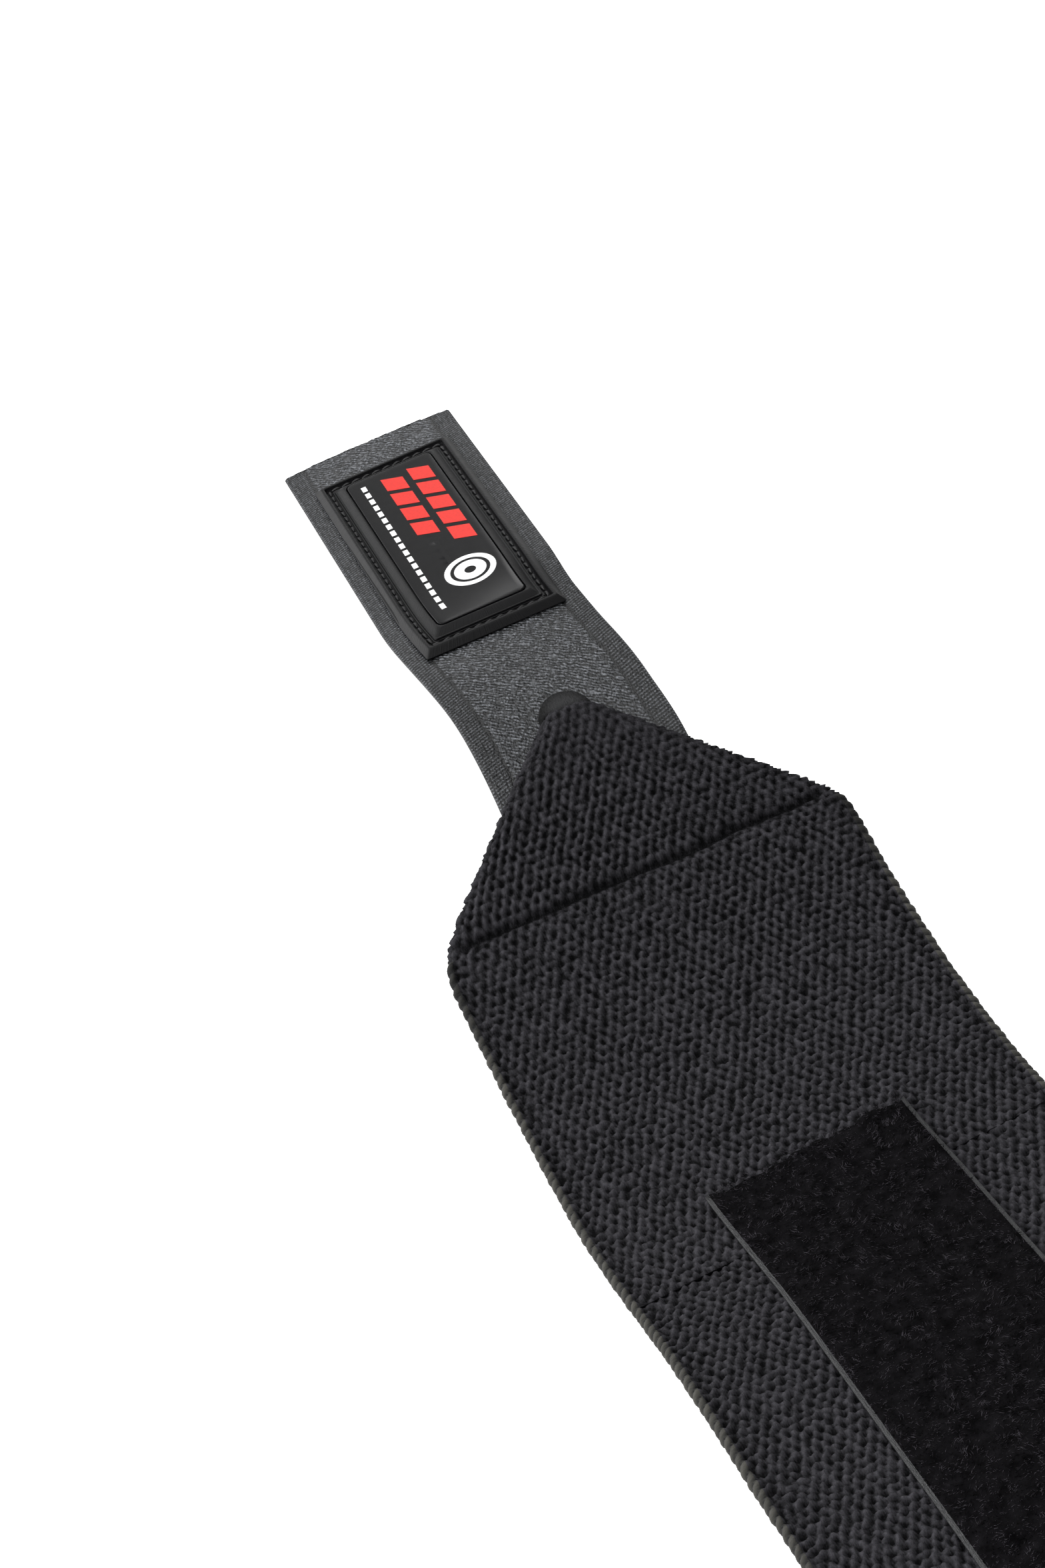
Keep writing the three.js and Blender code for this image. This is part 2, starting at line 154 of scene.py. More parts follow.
class WrapColours(bpy.types.PropertyGroup):
    """The colours of the wrap's materials."""

    knit: colour("Knit", "Raised loops of the elastic", "#3C3B3F")
    # Painted shade: this near-black tint darkens the knit's holes, the gaps between its selvedge ridges
    # and the troughs of the strap's ribs.
    knit_shade: colour("Knit, deep", "Holes of the elastic", "#0B0B0C")
    selvedge: colour("Knit selvedge", "Ridges along the elastic's edges", "#3F3E3A")
    tape: colour("Tape", "Raised threads of the hook tape", "#8C8F95")
    # Painted shade: this tint darkens the hook tape's gaps.
    tape_gap_shade: colour("Tape, deep", "Gaps of the hook tape", "#0E0F10")
    felt: colour("Felt", "The tip under the point", "#39393A")
    rubber: colour("Rubber", "The moulded badge", "#0C0C0E")
    panel: colour("Panel", "The badge's glossy panel", "#09090B")
    red: colour("Red print", "The red marks on the panel", "#D3281E")
    white: colour("White print", "The white marks on the panel", "#F2F2F2")
    pile: colour("Pile", "The loop strip's pile", "#131214")
    pile_edge: colour("Pile selvedge", "The loop strip's woven edge", "#212224")
    thread: colour("Thread", "The sewing thread", "#141416")
    fibre: colour("Cut fibre", "Loose fibres of the tape's cut edges", "#8C7A70")
    floor: colour("Floor", "The plain floor", "#FFFFFF")


class Lengths:
    """A property group's lengths, read in millimetres."""

    def __init__(self, group):
        self.group = group

    def __getattr__(self, name):
        return getattr(self.group, name) / MM


def elastic():
    return Lengths(bpy.context.scene.wrap_elastic)


def tab():
    return Lengths(bpy.context.scene.wrap_tab)


def badge():
    return Lengths(bpy.context.scene.wrap_badge)


def strip():
    return Lengths(bpy.context.scene.wrap_strip)


def colours():
    return bpy.context.scene.wrap_colours


# How the wrap lies: a row for each bend, with its share of the wrap's length, its pitch, its yaw and
# its roll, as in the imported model. The angles are in degrees: pitch points down, yaw turns aside and
# roll tips the width. A pitch of None takes RUN_DOWN_SHARE of the slope that brings the far end to
# the surface.
LAY = (
    (0, -6.5, -1, -2),
    (0.125, -6.5, -1, -2),
    (0.16, -2, 5.5, -8),
    (0.185, 5.5, 7, -10),
    (0.215, 15.5, 0, -9.5),
    (0.245, 22.5, -6, -4),
    (0.275, 24, -6, 0),
    (0.315, 17.5, -2.5, 0),
    (0.355, 8.5, -1.5, 0),
    (0.405, -3, -0.5, 0),
    (0.455, -11.5, 3, -3),
    (0.51, -14.5, 1, -5),
    (0.59, -12.5, 1.5, -2),
    (0.69, -6.5, 0.5, 1.5),
    (0.745, 4, 0, 0),
    (0.8, None, 0, 0),
    (0.86, None, 0, 0),
    (0.92, 0, 0, 0),
    (1, 0, 0, 0),
)
RUN_DOWN_SHARE = 0.85
VALLEY_SHARE = 0.6  # the first valley, which touches the surface, lies before this share
LAY_STEP = 1.0
CLEARANCE = 0.3


def smooth(at, values, x):
    """A curve through the rows that never swings past them, flat at both ends."""
    step, rise = np.diff(at), np.diff(values) / np.diff(at)
    slope = np.zeros(len(values))
    for i in range(1, len(values) - 1):
        if rise[i - 1] * rise[i] > 0:
            before, after = 2 * step[i] + step[i - 1], step[i] + 2 * step[i - 1]
            slope[i] = (before + after) / (before / rise[i - 1] + after / rise[i])
    i = np.clip(np.searchsorted(at, x, side="right") - 1, 0, len(at) - 2)
    t = np.clip((x - at[i]) / step[i], 0, 1)
    u = 1 - t
    ends = values[i] * u * u * (1 + 2 * t) + values[i + 1] * t * t * (1 + 2 * u)
    return ends + step[i] * (slope[i] * t * u * u - slope[i + 1] * t * t * u)


def bisected(low, high, too_high):
    """The value between low and high from which the test says that it is too high."""
    for _ in range(50):
        middle = (low + high) / 2
        low, high = (low, middle) if too_high(middle) else (middle, high)
    return middle


STEEPEST = (1.0, 60.0)  # limits of the slope, in degrees, that brings the far end down


class Lay:
    """The bent middle line of the wrap: places and directions at every millimetre."""

    def __init__(self):
        self.wrap = wrap_end()
        self.end = self.wrap + strip().loop_length + LAY_STEP
        bisected(*STEEPEST, lambda slope: self.follow(slope) <= 0)
        self.offset = np.zeros(3)
        corners = self.bend(tab_outline(), metres=False)
        self.offset = np.array(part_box("hook_tab")[0]) / MM - corners.min(0)

    def follow(self, down):
        """Lays the middle line out with this slope, and gives the height of its far end."""
        shares, pitches, yaws, rolls = zip(*LAY)
        pitches = [RUN_DOWN_SHARE * down if p is None else p for p in pitches]
        at, s = np.array(shares) * self.wrap, np.arange(0, self.end, LAY_STEP)
        pitch, yaw, roll = (smooth(at, np.radians(angles), s) for angles in (pitches, yaws, rolls))
        ahead = np.stack([np.cos(pitch) * np.cos(yaw), np.cos(pitch) * np.sin(yaw), -np.sin(pitch)], -1)
        level = np.cross([0, 0, 1.0], ahead)
        level /= np.linalg.norm(level, axis=1)[:, None]
        over = np.cross(ahead, level)
        self.side = level * np.cos(roll)[:, None] + over * np.sin(roll)[:, None]
        self.normal = np.cross(ahead, self.side)
        self.place = np.zeros((len(s), 3))
        self.place[1:] = np.cumsum((ahead[1:] + ahead[:-1]) / 2 * LAY_STEP, 0)
        heights = self.place[:, 2]
        return heights[-1] - heights[: round(self.wrap * VALLEY_SHARE / LAY_STEP)].min()

    def bend(self, flat, metres=True):
        """Flat points (along, across, up) in millimetres, bent onto the lay."""
        flat = np.asarray(flat, float).reshape(-1, 3)
        i = np.clip((flat[:, 0] / LAY_STEP).astype(int), 0, len(self.place) - 2)
        share = (flat[:, 0] / LAY_STEP - i)[:, None]
        place, side, normal = (a[i] * (1 - share) + a[i + 1] * share
                               for a in (self.place, self.side, self.normal))
        bent = place + side * flat[:, 1:2] + normal * flat[:, 2:3]
        return (bent + self.offset) * (MM if metres else 1)


# Levels that several pieces share, in flat millimetres
def flap_bottom():
    return -2 * elastic().thickness - CLEARANCE


def tape_top():
    return flap_bottom() - CLEARANCE


def seam_at():
    return tab().reach + elastic().point - elastic().seam_setback


def wrap_end():
    return tab().reach + elastic().reach


BEND_STEP = 7
SELVEDGE_DROP = 0.15


def tab_outline():
    """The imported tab's corner points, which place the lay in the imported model's frame."""
    half, bottom = tab().width / 2, tape_top() - tab().thickness
    reach = seam_at() - tab().root
    rows = np.linspace(0, reach, math.ceil(reach / BEND_STEP) + 1)
    edges = ((half, tape_top() - SELVEDGE_DROP), (half, bottom), (-half, bottom))
    edges += ((-half, tape_top() - SELVEDGE_DROP), (0, tape_top()))
    return [(s, y, h) for s in rows for y, h in edges]


def quads(rows, columns, closed=False):
    """The quads between the points of a grid, rows by columns, as indices."""
    r, c = np.meshgrid(np.arange(rows - 1), np.arange(columns if closed else columns - 1), indexing="ij")
    a, b = r * columns + c, r * columns + (c + 1) % columns
    return np.stack([a, b, b + columns, a + columns], -1).reshape(-1, 4)


def end_caps(rows, columns):
    """Two faces that close the first and last rows of a tube of closed rows."""
    ends = np.arange(columns)
    return np.array([ends[::-1], ends + (rows - 1) * columns])


UV_PER_MM = 0.1


def piece(name, points, faces, material, flat=None, levels=None, smooth_faces=True, around=None):
    """A mesh from bent points and faces. flat gives each point's place on the cloth for the
    patterns, in millimetres, and levels a value from 0, deep, to 1, raised, which tints the colour as
    painted shade where deep and lighter where raised. Where a pattern runs round a ring, around is the
    ring's length."""
    mesh = bpy.data.meshes.new(name)
    faces = [np.asarray(f) for f in (faces if isinstance(faces, list) else [faces]) if len(f)]
    points = np.asarray(points, np.float32).reshape(-1, 3)
    mesh.vertices.add(len(points))
    mesh.vertices.foreach_set("co", points.ravel())
    corners = np.concatenate([f.ravel() for f in faces]).astype(np.int32)
    sizes = np.concatenate([np.full(len(f), f.shape[1]) for f in faces])
    mesh.loops.add(len(corners))
    mesh.loops.foreach_set("vertex_index", corners)
    mesh.polygons.add(len(sizes))
    starts = np.concatenate([[0], np.cumsum(sizes)[:-1]]).astype(np.int32)
    mesh.polygons.foreach_set("loop_start", starts)
    mesh.polygons.foreach_set("use_smooth", np.full(len(sizes), smooth_faces))
    if flat is not None:
        layer = mesh.uv_layers.new(name="flat")
        uv = np.asarray(flat, np.float32)[corners, :2]
        if around:
            low = np.repeat(np.minimum.reduceat(uv[:, 0], starts), sizes)
            high = np.repeat(np.maximum.reduceat(uv[:, 0], starts), sizes)
            uv[:, 0] += around * ((high - low > around / 2) & (uv[:, 0] < around / 2))
        layer.data.foreach_set("uv", (uv * UV_PER_MM).ravel())
    if levels is not None:
        attribute = mesh.attributes.new("level", "FLOAT", "POINT")
        attribute.data.foreach_set("value", np.asarray(levels, np.float32))
    mesh.update(calc_edges=True)
    mesh.validate()
    mesh.materials.append(material)
    made = bpy.data.objects.new(name, mesh)
    bpy.context.scene.collection.objects.link(made)
    return made


def dress(made, slot, *nodes):
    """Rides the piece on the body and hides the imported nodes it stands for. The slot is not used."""
    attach(made, BODY)
    if nodes:
        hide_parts(*nodes)
    return made


def merged(parts):
    """Points and faces of several small meshes as one."""
    points, faces, start = [], {}, 0
    for p, f in parts:
        points.append(np.asarray(p, float).reshape(-1, 3))
        for g in f if isinstance(f, list) else [f]:
            faces.setdefault(np.asarray(g).shape[1], []).append(np.asarray(g) + start)
        start += len(points[-1])
    return np.concatenate(points), [np.concatenate(g) for g in faces.values()]


def add(material, kind, inputs=None, **settings):
    """Adds a shader node to a material or world, sets its settings, and sets or links its inputs."""
    tree = material.node_tree
    node = tree.nodes.new(kind)
    for name, value in settings.items():
        setattr(node, name, value)
    for key, value in (inputs or {}).items():
        if isinstance(value, bpy.types.NodeSocket):
            tree.links.new(value, node.inputs[key])
        else:
            node.inputs[key].default_value = value
    return node


def surface(name, **constants):
    """A material with one Principled surface, and that surface node."""
    material = bpy.data.materials.new(name)
    material.use_nodes = True
    material.node_tree.nodes.clear()
    inputs = {key.replace("_", " "): value for key, value in constants.items()}
    shader = add(material, "ShaderNodeBsdfPrincipled", inputs)
    add(material, "ShaderNodeOutputMaterial", {"Surface": shader.outputs[0]})
    return material, shader


def link(material, source, node, socket):
    material.node_tree.links.new(source, node.inputs[socket])


def rgba(colour_property):
    return (*colour_property, 1.0)


def on_cloth(material, along_mm, across_mm):
    """The place on the cloth, counted in repeats of a pattern of these sizes in millimetres."""
    place = add(material, "ShaderNodeUVMap", uv_map="flat")
    scale = (1 / along_mm / UV_PER_MM, 1 / across_mm / UV_PER_MM, 1)
    scaled = add(material, "ShaderNodeVectorMath", {0: place.outputs[0], 1: scale}, operation="MULTIPLY")
    return scaled.outputs[0]


def finish(material, shader, shade, span, tints, grain=None, depth_mm=0.0):
    """Tints a surface from deep to light as its shade crosses the span, and raises its grain."""
    share = add(material, "ShaderNodeMapRange", {0: shade, 1: span[0], 2: span[1]})
    tinted = add(material, "ShaderNodeMix", {0: share.outputs[0], 6: rgba(tints[0]), 7: rgba(tints[1])},
                 data_type="RGBA")
    link(material, tinted.outputs[2], shader, "Base Color")
    if grain:
        raised = add(material, "ShaderNodeBump", {"Height": grain, "Distance": depth_mm * MM})
        link(material, raised.outputs[0], shader, "Normal")


def shaded(tint, share):
    """The same tint, darker for a share under 1 and lighter for one above it."""
    return tuple(c * share for c in tint)


def patterned(name, lumps_mm, span, tints, depth_mm=0.0, detail=(2.0, 0.5), over_level=0.0, polish=None,
              **constants):
    """A material whose shade wanders in lumps of this size, and its relief too if it has a depth.
    With over_level, that share of the lumps is added to the level of the piece's own relief. With
    polish, the roughness follows the lumps between its two values."""
    material, shader = surface(name, **constants)
    lumps = add(material, "ShaderNodeTexNoise", {"Vector": on_cloth(material, *lumps_mm), "Scale": 1.0,
                                                "Detail": detail[0], "Roughness": detail[1]}).outputs[0]
    shade = lumps
    if over_level:
        level = add(material, "ShaderNodeAttribute", attribute_name="level")
        shade = add(material, "ShaderNodeMath", {0: lumps, 1: over_level, 2: level.outputs["Fac"]},
                    operation="MULTIPLY_ADD").outputs[0]
    if polish:
        rough = add(material, "ShaderNodeMapRange", {0: lumps, 3: polish[0], 4: polish[1]})
        link(material, rough.outputs[0], shader, "Roughness")
    finish(material, shader, shade, span, tints, lumps if depth_mm else None, depth_mm)
    return material


def knit_polyester():
    """Polyester and rubber elastic, warp knitted: matt twisted yarn, with painted shade making the holes
    between it black.
    """
    return patterned("knit_polyester", (0.6, 0.34), (0.62, 1.62), (colours().knit_shade, colours().knit),
                     depth_mm=0.3, detail=(3.0, 0.65), over_level=1.1,
                     Roughness=0.95, Specular_IOR_Level=0.08)


def knit_edge():
    """The selvedge of the same knit: tight slanting ridges of bare rubber and yarn, paler."""
    return patterned("knit_edge", (0.35, 0.9), (0.4, 1.3), (colours().knit_shade, colours().selvedge),
                     depth_mm=0.2, detail=(3.0, 0.5), over_level=0.5,
                     Roughness=0.8, Specular_IOR_Level=0.2)


def woven_nylon():
    """Nylon hook tape, woven and heat set: painted shade darkens the gaps, and painted glints light the
    raised threads where a filament turns up.
    """
    material, shader = surface("woven_nylon", Roughness=0.45, Specular_IOR_Level=0.45)
    place = on_cloth(material, 0.5, 0.34)
    floats = add(material, "ShaderNodeTexVoronoi", {"Vector": place, "Scale": 1.0})
    level = add(material, "ShaderNodeAttribute", attribute_name="level")
    # Painted highlight: random glints in the colour, strongest on the raised threads.
    painted_glint = add(material, "ShaderNodeMath", {0: floats.outputs["Color"], 1: 0.8, 2: 0.65},
                operation="MULTIPLY_ADD")
    shade = add(material, "ShaderNodeMath", {0: painted_glint.outputs[0], 1: level.outputs["Fac"]},
                operation="MULTIPLY")
    finish(material, shader, shade.outputs[0], (0.33, 1.36), (colours().tape_gap_shade, colours().tape),
           floats.outputs["Distance"], 0.15)
    return material


def moulded_rubber():
    """Soft rubber, moulded with fine lines across its bevels: dark satin, grey where it turns."""
    tints = (shaded(colours().rubber, 0.5), colours().rubber)
    return patterned("moulded_rubber", (0.3, 6), (0.3, 0.7), tints,
                     depth_mm=0.08, polish=(0.4, 0.6), Specular_IOR_Level=0.2)


def cast_polyurethane():
    """Glossy cast polyurethane panel: near black, with soft clear reflections."""
    tints = (shaded(colours().panel, 0.7), colours().panel)
    return patterned("cast_polyurethane", (2, 2), (0.3, 0.8), tints,
                     detail=(4.0, 0.5), polish=(0.2, 0.3), Specular_IOR_Level=0.19, IOR=1.45)


def screen_print(name, tint):
    """Screen-printed ink on the panel: flat, slightly satin, with a faint unevenness."""
    return patterned(name, (0.6, 0.6), (0.25, 0.6), (shaded(tint, 0.86), tint), detail=(3.0, 0.5),
                     Roughness=0.45, Specular_IOR_Level=0.3)


def brushed_loop():
    """Brushed nylon loop: a deep matt black pile, lighter in soft patches where it is combed up."""
    return patterned("brushed_loop", (3, 3), (0.35, 0.7), (shaded(colours().pile, 0.2), colours().pile),
                     depth_mm=0.5, detail=(5.0, 0.65), Roughness=1.0, Specular_IOR_Level=0.03)


def crimped_nylon():
    """Loose strands of the same pile, fine and crimped: a painted sheen, up to 8.5 times lighter than the
    pile, over the black.
    """
    return patterned("crimped_nylon", (1.9, 1.9), (0.42, 0.6),
                     # Painted sheen: the strands' light tint is 8.5 times the pile's colour.
                     (shaded(colours().pile, 0.15), shaded(colours().pile, 8.5)),
                     Roughness=0.8, Specular_IOR_Level=0.04)


def woven_edge():
    """The loop strip's woven edge: a thin smooth grey ribbon of flat threads with a low shine."""
    tints = (shaded(colours().pile_edge, 0.3), colours().pile_edge)
    return patterned("woven_edge", (0.9, 0.2), (0.3, 0.75), tints, depth_mm=0.25,
                     Roughness=0.5, Specular_IOR_Level=0.4)


def pressed_felt():
    """Pressed felt: matt with a cloudy nap, with a painted highlight making its dome dark grey and painted
    shade making its sides near black.
    """
    tints = (shaded(colours().felt, 0.12), colours().felt)
    return patterned("pressed_felt", (0.8, 0.5), (0.5, 1.25), tints, depth_mm=0.6, detail=(5.0, 0.7),
                     over_level=1.0, Roughness=0.7, Specular_IOR_Level=0.12)


def bonded_thread():
    """Bonded polyester thread, twisted: black, with a low shine on each stitch."""
    tints = (shaded(colours().thread, 0.5), colours().thread)
    return bpy.data.materials.get("bonded_thread") or patterned(
        "bonded_thread", (0.3, 0.3), (0.3, 0.7), tints, Roughness=0.5, Specular_IOR_Level=0.45)


def drawn_nylon(name, tint):
    """Drawn nylon monofilament: smooth and slightly clear, so it shines along its length."""
    return patterned(name, (2, 2), (0.3, 0.7), (shaded(tint, 0.6), tint),
                     Roughness=0.35, Specular_IOR_Level=0.5)


def woven_strap():
    """Woven elastic strap: flat black ribs across its width with a faint shine."""
    material, shader = surface("woven_strap", Roughness=0.75, Specular_IOR_Level=0.2)
    rib = add(material, "ShaderNodeTexWave", {"Vector": on_cloth(material, 1.4, 3), "Scale": 1.0,
                                             "Distortion": 0.5, "Detail": 2.0})
    # Painted shade: the colour follows the ribs' relief, near black in their troughs.
    finish(material, shader, rib.outputs[0], (0.1, 0.9), (colours().knit_shade, colours().knit),
           rib.outputs[0], 0.12)
    return material


# The knit's relief, in millimetres. Each repeat holds one hole and the lumps of two loops, whose
# places are in shares of the repeat's two slanting sides.
LUMPS = ((0.48, 0.27), (0.55, 0.76))
LUMP_STRAY = 0.43
LUMP_SIZE = 0.68
LOOP_RELIEF = 0.78
LOOP_TURN = 1.8  # how far a loop may turn from the cloth's length, in radians, both ways together
LOOP_STRETCH = 1.15
HOLE_DEPTH = (0.36, 0.92)
HOLE_SIZE = 0.42
GRID_SHARE = 4.6  # grid lines in one course and one wale


def chance(i, j, seed):
    """A random share, from 0 to 1, for each whole-numbered cell."""
    wave = np.sin(i * 12.9898 + j * 78.233 + seed * 37.719) * 43758.5453
    return wave - np.floor(wave)


def drift(x, y, spacing, seed):
    """Smooth random unevenness over the cloth, from -1 to 1, with lumps of this spacing."""
    x, y = np.broadcast_arrays(x / spacing, y / spacing)
    i, j = np.floor(x), np.floor(y)
    u, v = (t * t * (3 - 2 * t) for t in (x - i, y - j))
    low = chance(i, j, seed) * (1 - u) + chance(i + 1, j, seed) * u
    high = chance(i, j + 1, seed) * (1 - u) + chance(i + 1, j + 1, seed) * u
    return 2 * (low * (1 - v) + high * v) - 1


def knit_surface(x, y):
    """Relief of the knit in millimetres, and its level from 0 in a hole to 1 on a loop, which paints shade
    into the holes.
    """
    x, y = x + 0.3 * drift(x, y, 4.3, 1), y + 0.25 * drift(x, y, 3.7, 2)
    course, wale = elastic().course, elastic().wale
    chain, cross = x / (2 * course) + y / wale, x / (2 * course) - y / wale
    i, j = np.floor(chain), np.floor(cross)
    loops, hole = np.zeros(x.shape), np.zeros(x.shape)
    for a in (i - 1, i, i + 1):
        for b in (j - 1, j, j + 1):
            for k, (u, v) in enumerate(LUMPS):
                u = u + LUMP_STRAY * (chance(a, b, 20 + k) - 0.5)
                v = v + LUMP_STRAY * (chance(a, b, 30 + k) - 0.5)
                du, dv = chain - a - u, cross - b - v
                size = LUMP_SIZE * (0.85 + 0.3 * chance(a, b, 40 + k))
                turn = LOOP_TURN * (chance(a, b, 70 + k) - 0.5)
                ahead, aside = course * (du + dv), wale / 2 * (du - dv)
                ahead, aside = (ahead * np.cos(turn) + aside * np.sin(turn),
                                aside * np.cos(turn) - ahead * np.sin(turn))
                gap = np.hypot(ahead / LOOP_STRETCH, aside * LOOP_STRETCH) / size
                raised = 0.7 + 0.3 * chance(a, b, 50 + k)
                loops = np.maximum(loops, raised * np.exp(-(gap**2.4)))
            du = chain - a + 0.16 * (chance(a, b, 60) - 0.5)
            dv = cross - b + 0.16 * (chance(a, b, 61) - 0.5)
            gap = np.hypot(course * (du + dv), wale / 2 * (du - dv)) / HOLE_SIZE
            depth = HOLE_DEPTH[0] + (HOLE_DEPTH[1] - HOLE_DEPTH[0]) * chance(a, b, 62)
            hole = np.maximum(hole, depth * np.exp(-(gap**2)))
    fine = drift(x, y, 0.55, 6)
    relief = LOOP_RELIEF * (loops - 0.55) - hole + 0.07 * fine
    # The level is painted shade, darkest in the holes and lighter on the raised loops, with random tone
    # over it.
    level = np.clip(0.12 + 0.95 * loops - 0.9 * hole + 0.26 * fine, 0, 1.1)
    return relief, level


def smooth_step(low, high, x):
    t = np.clip((x - low) / (high - low), 0, 1)
    return t * t * (3 - 2 * t)


# The elastic's smaller shapes, in millimetres
FOLD_THINS = (0.5, 2.5)  # the folded layer thins out between these places behind the seam
DRAWN_IN = 1.6  # the blunt front is drawn in this far at its sides
TURN_STEPS, BOTTOM_STEPS = 10, 29
SLIT = (1.2, 0.6)  # depth and half width of the slit between the folded corners, underneath
CALM, CALM_SHARE = (3, 30), 0.55  # the knit is drawn flat between these places behind the point
SELVEDGE_STARTS = (-1.5, -1.0)  # the knit turns to ridges between these places past the elastic's width
NOTCHES = (-4.2, -1.8)  # and the gaps between the ridges run in this far
NOTCH_DEPTH = 0.5
RIDGE_HEIGHT, RIDGE_DROP, RIDGE_SLANT = 0.5, 0.2, 0.46
RIDGES_GROW = (6, 26)  # the ridges grow between these places behind the seam
CREST = (0.3, 5.5, 1.6)  # height, inset and half width of the soft crest along the folds
SEAM_STRAY = (0.4, 6)  # how far the seam strays, and the spacing of its swings
SEAM_FADES = (0.5, 4.5)  # the seam fades out between these insets
SEAM_PULL = (0.5, 2.6)  # depth and reach of the hollow that the seam pulls
SEAM_SHADE_REACH = 0.55  # half width of the painted shade along the seam's crease


def band_section(s):
    """Half width, thickness and foldedness of the elastic, at places along it, and the rounding
    of its blunt front, which grows from 0 to 1."""
    e = elastic()
    wide, along = e.width / 2, s - tab().reach
    flank = math.atan(wide / e.point)
    left = e.point + e.corner * math.tan(flank / 2) - along
    arc = wide - e.corner + np.sqrt(e.corner**2 - np.clip(left, 0, e.corner) ** 2)
    half = np.where(left > e.corner * math.sin(flank), wide * along / e.point, arc)
    folded = 1 - smooth_step(*FOLD_THINS, s - seam_at())
    thick = e.thickness + folded * (-flap_bottom() - e.thickness)
    nose = 1 - np.clip((along - e.blunt) / (-flap_bottom() / 2), 0, 1)
    return half, thick, folded, np.sqrt(np.clip(1 - nose**2, 0.02, 1))


def edged_knit(s, cloth, half, thick, folded):
    """Relief and level of the knit with its ridged selvedges, and the share of selvedge."""
    relief, level = knit_surface(s, cloth)
    calm = CALM_SHARE + (1 - CALM_SHARE) * smooth_step(*CALM, s - tab().reach)
    relief, level = relief * calm, 0.5 + (level - 0.5) * calm
    grown = smooth_step(*RIDGES_GROW, s - seam_at())
    past = np.abs(cloth) - half
    hem = (1 - folded) * (past < thick)
    on_edge = smooth_step(*SELVEDGE_STARTS, past) * hem
    phase = (s - RIDGE_SLANT * np.abs(cloth)) / elastic().ridge + 0.22 * drift(s, 0 * cloth, 5, 8)
    ridges = np.abs(np.sin(math.pi * phase)) ** 0.8
    gaps = smooth_step(*NOTCHES, past) * hem * (0.4 + 0.6 * grown) * (1 - ridges)
    # Painted shade: the gaps between the ridges are darkened in colour as well as sunk.
    relief, level = relief - NOTCH_DEPTH * gaps, level * (1 - 0.95 * gaps)
    ridge_heights = ridges * (1 + 0.25 * drift(s, cloth, 1.3, 9))
    relief = relief * (1 - on_edge) + on_edge * (RIDGE_HEIGHT * ridge_heights - RIDGE_DROP)
    # Painted shade: the selvedge's colour follows its ridges, dark between them and lighter on their
    # crests.
    level = level * (1 - on_edge) + on_edge * ridge_heights * (0.35 + 0.65 * grown)
    return relief, level, on_edge


def elastic_rows(start, stop):
    """The elastic between two places as closed cross sections: flat points, places on the cloth,
    levels of the knit and the share of selvedge. One section more at each end gives the slope."""
    e = elastic()
    step, pitch = e.course / GRID_SHARE, e.wale / GRID_SHARE
    rows = np.arange(round(start / step) - 1, round(stop / step) + 2) * step
    half, thick, folded, front = (v[:, None] for v in band_section(rows))
    s = rows[:, None]
    radius = np.minimum(thick / 2, half * 0.8) * front
    drop, thin = thick / 2 * (1 - front), thick * front
    limit = half - radius - DRAWN_IN * (1 - front)
    top = limit * np.linspace(-1, 1, 2 * int(e.width / 2 / pitch) + 1)
    bottom = limit * np.linspace(1, -1, BOTTOM_STEPS)
    turn = np.linspace(0, math.pi, TURN_STEPS)[None, 1:-1]
    side, rise = np.sin(turn) + 0 * s, np.cos(turn) + 0 * s
    slit = folded * SLIT[0] * np.exp(-((bottom / SLIT[1]) ** 2)) * (s < seam_at()) * front

    def ring(over, right, under, left):
        return np.concatenate([over, right, under, left[:, ::-1]], 1)

    across = ring(top, limit + radius * side, bottom, -limit - radius * side)
    up = ring(0 * top, thin / 2 * (rise - 1), slit - thin, thin / 2 * (rise - 1)) - drop
    turned = limit + thick / 2 * turn
    cloth = ring(top, turned, limit + thick * math.pi / 2 + (limit - bottom), -turned)
    out_y = ring(0 * top, side, 0 * bottom, -side)
    out_h = ring(1 + 0 * top, rise, -1 + 0 * bottom, rise)
    s = s + 0 * cloth
    relief, level, on_edge = edged_knit(s, cloth, half, thick, folded)
    is_top = (out_h > 0.5).astype(float)
    share = (s - tab().reach) / (seam_at() - tab().reach)
    swell = np.where(share < 1, np.sin(math.pi * np.clip(share, 0, 1)) * (1 - (across / half) ** 2), 0)
    inward = half - np.abs(across)
    crest = CREST[0] * folded * np.exp(-(((inward - CREST[1]) / CREST[2]) ** 2))
    from_seam = s - seam_at() - SEAM_STRAY[0] * drift(0 * across, across, SEAM_STRAY[1], 10)
    inside = smooth_step(*SEAM_FADES, inward)
    furrow = inside * np.exp(-np.abs(from_seam / e.seam_reach) ** 1.5)
    pulled = SEAM_PULL[0] * inside * np.exp(-((from_seam / SEAM_PULL[1]) ** 2))
    pulled = pulled * (1 + 0.5 * drift(s, across, 4, 11))
    up = up + is_top * (e.puff * swell + crest - e.seam_dip * furrow - pulled) * front
    relief = relief * (1 + 0.7 * folded * np.abs(out_y)) * np.where(out_h < -0.5, 0.35, 1)
    relief = relief * (1 - 0.8 * is_top * furrow) * (0.4 + 0.6 * front)
    # Painted shade: a thin dark line along the seam's crease.
    level = level * (1 - 0.9 * is_top * inside * np.exp(-((from_seam / SEAM_SHADE_REACH) ** 2)))
    points = np.stack([s, across + out_y * relief, up + out_h * relief], -1)
    return points, np.stack([s, cloth], -1), level, on_edge


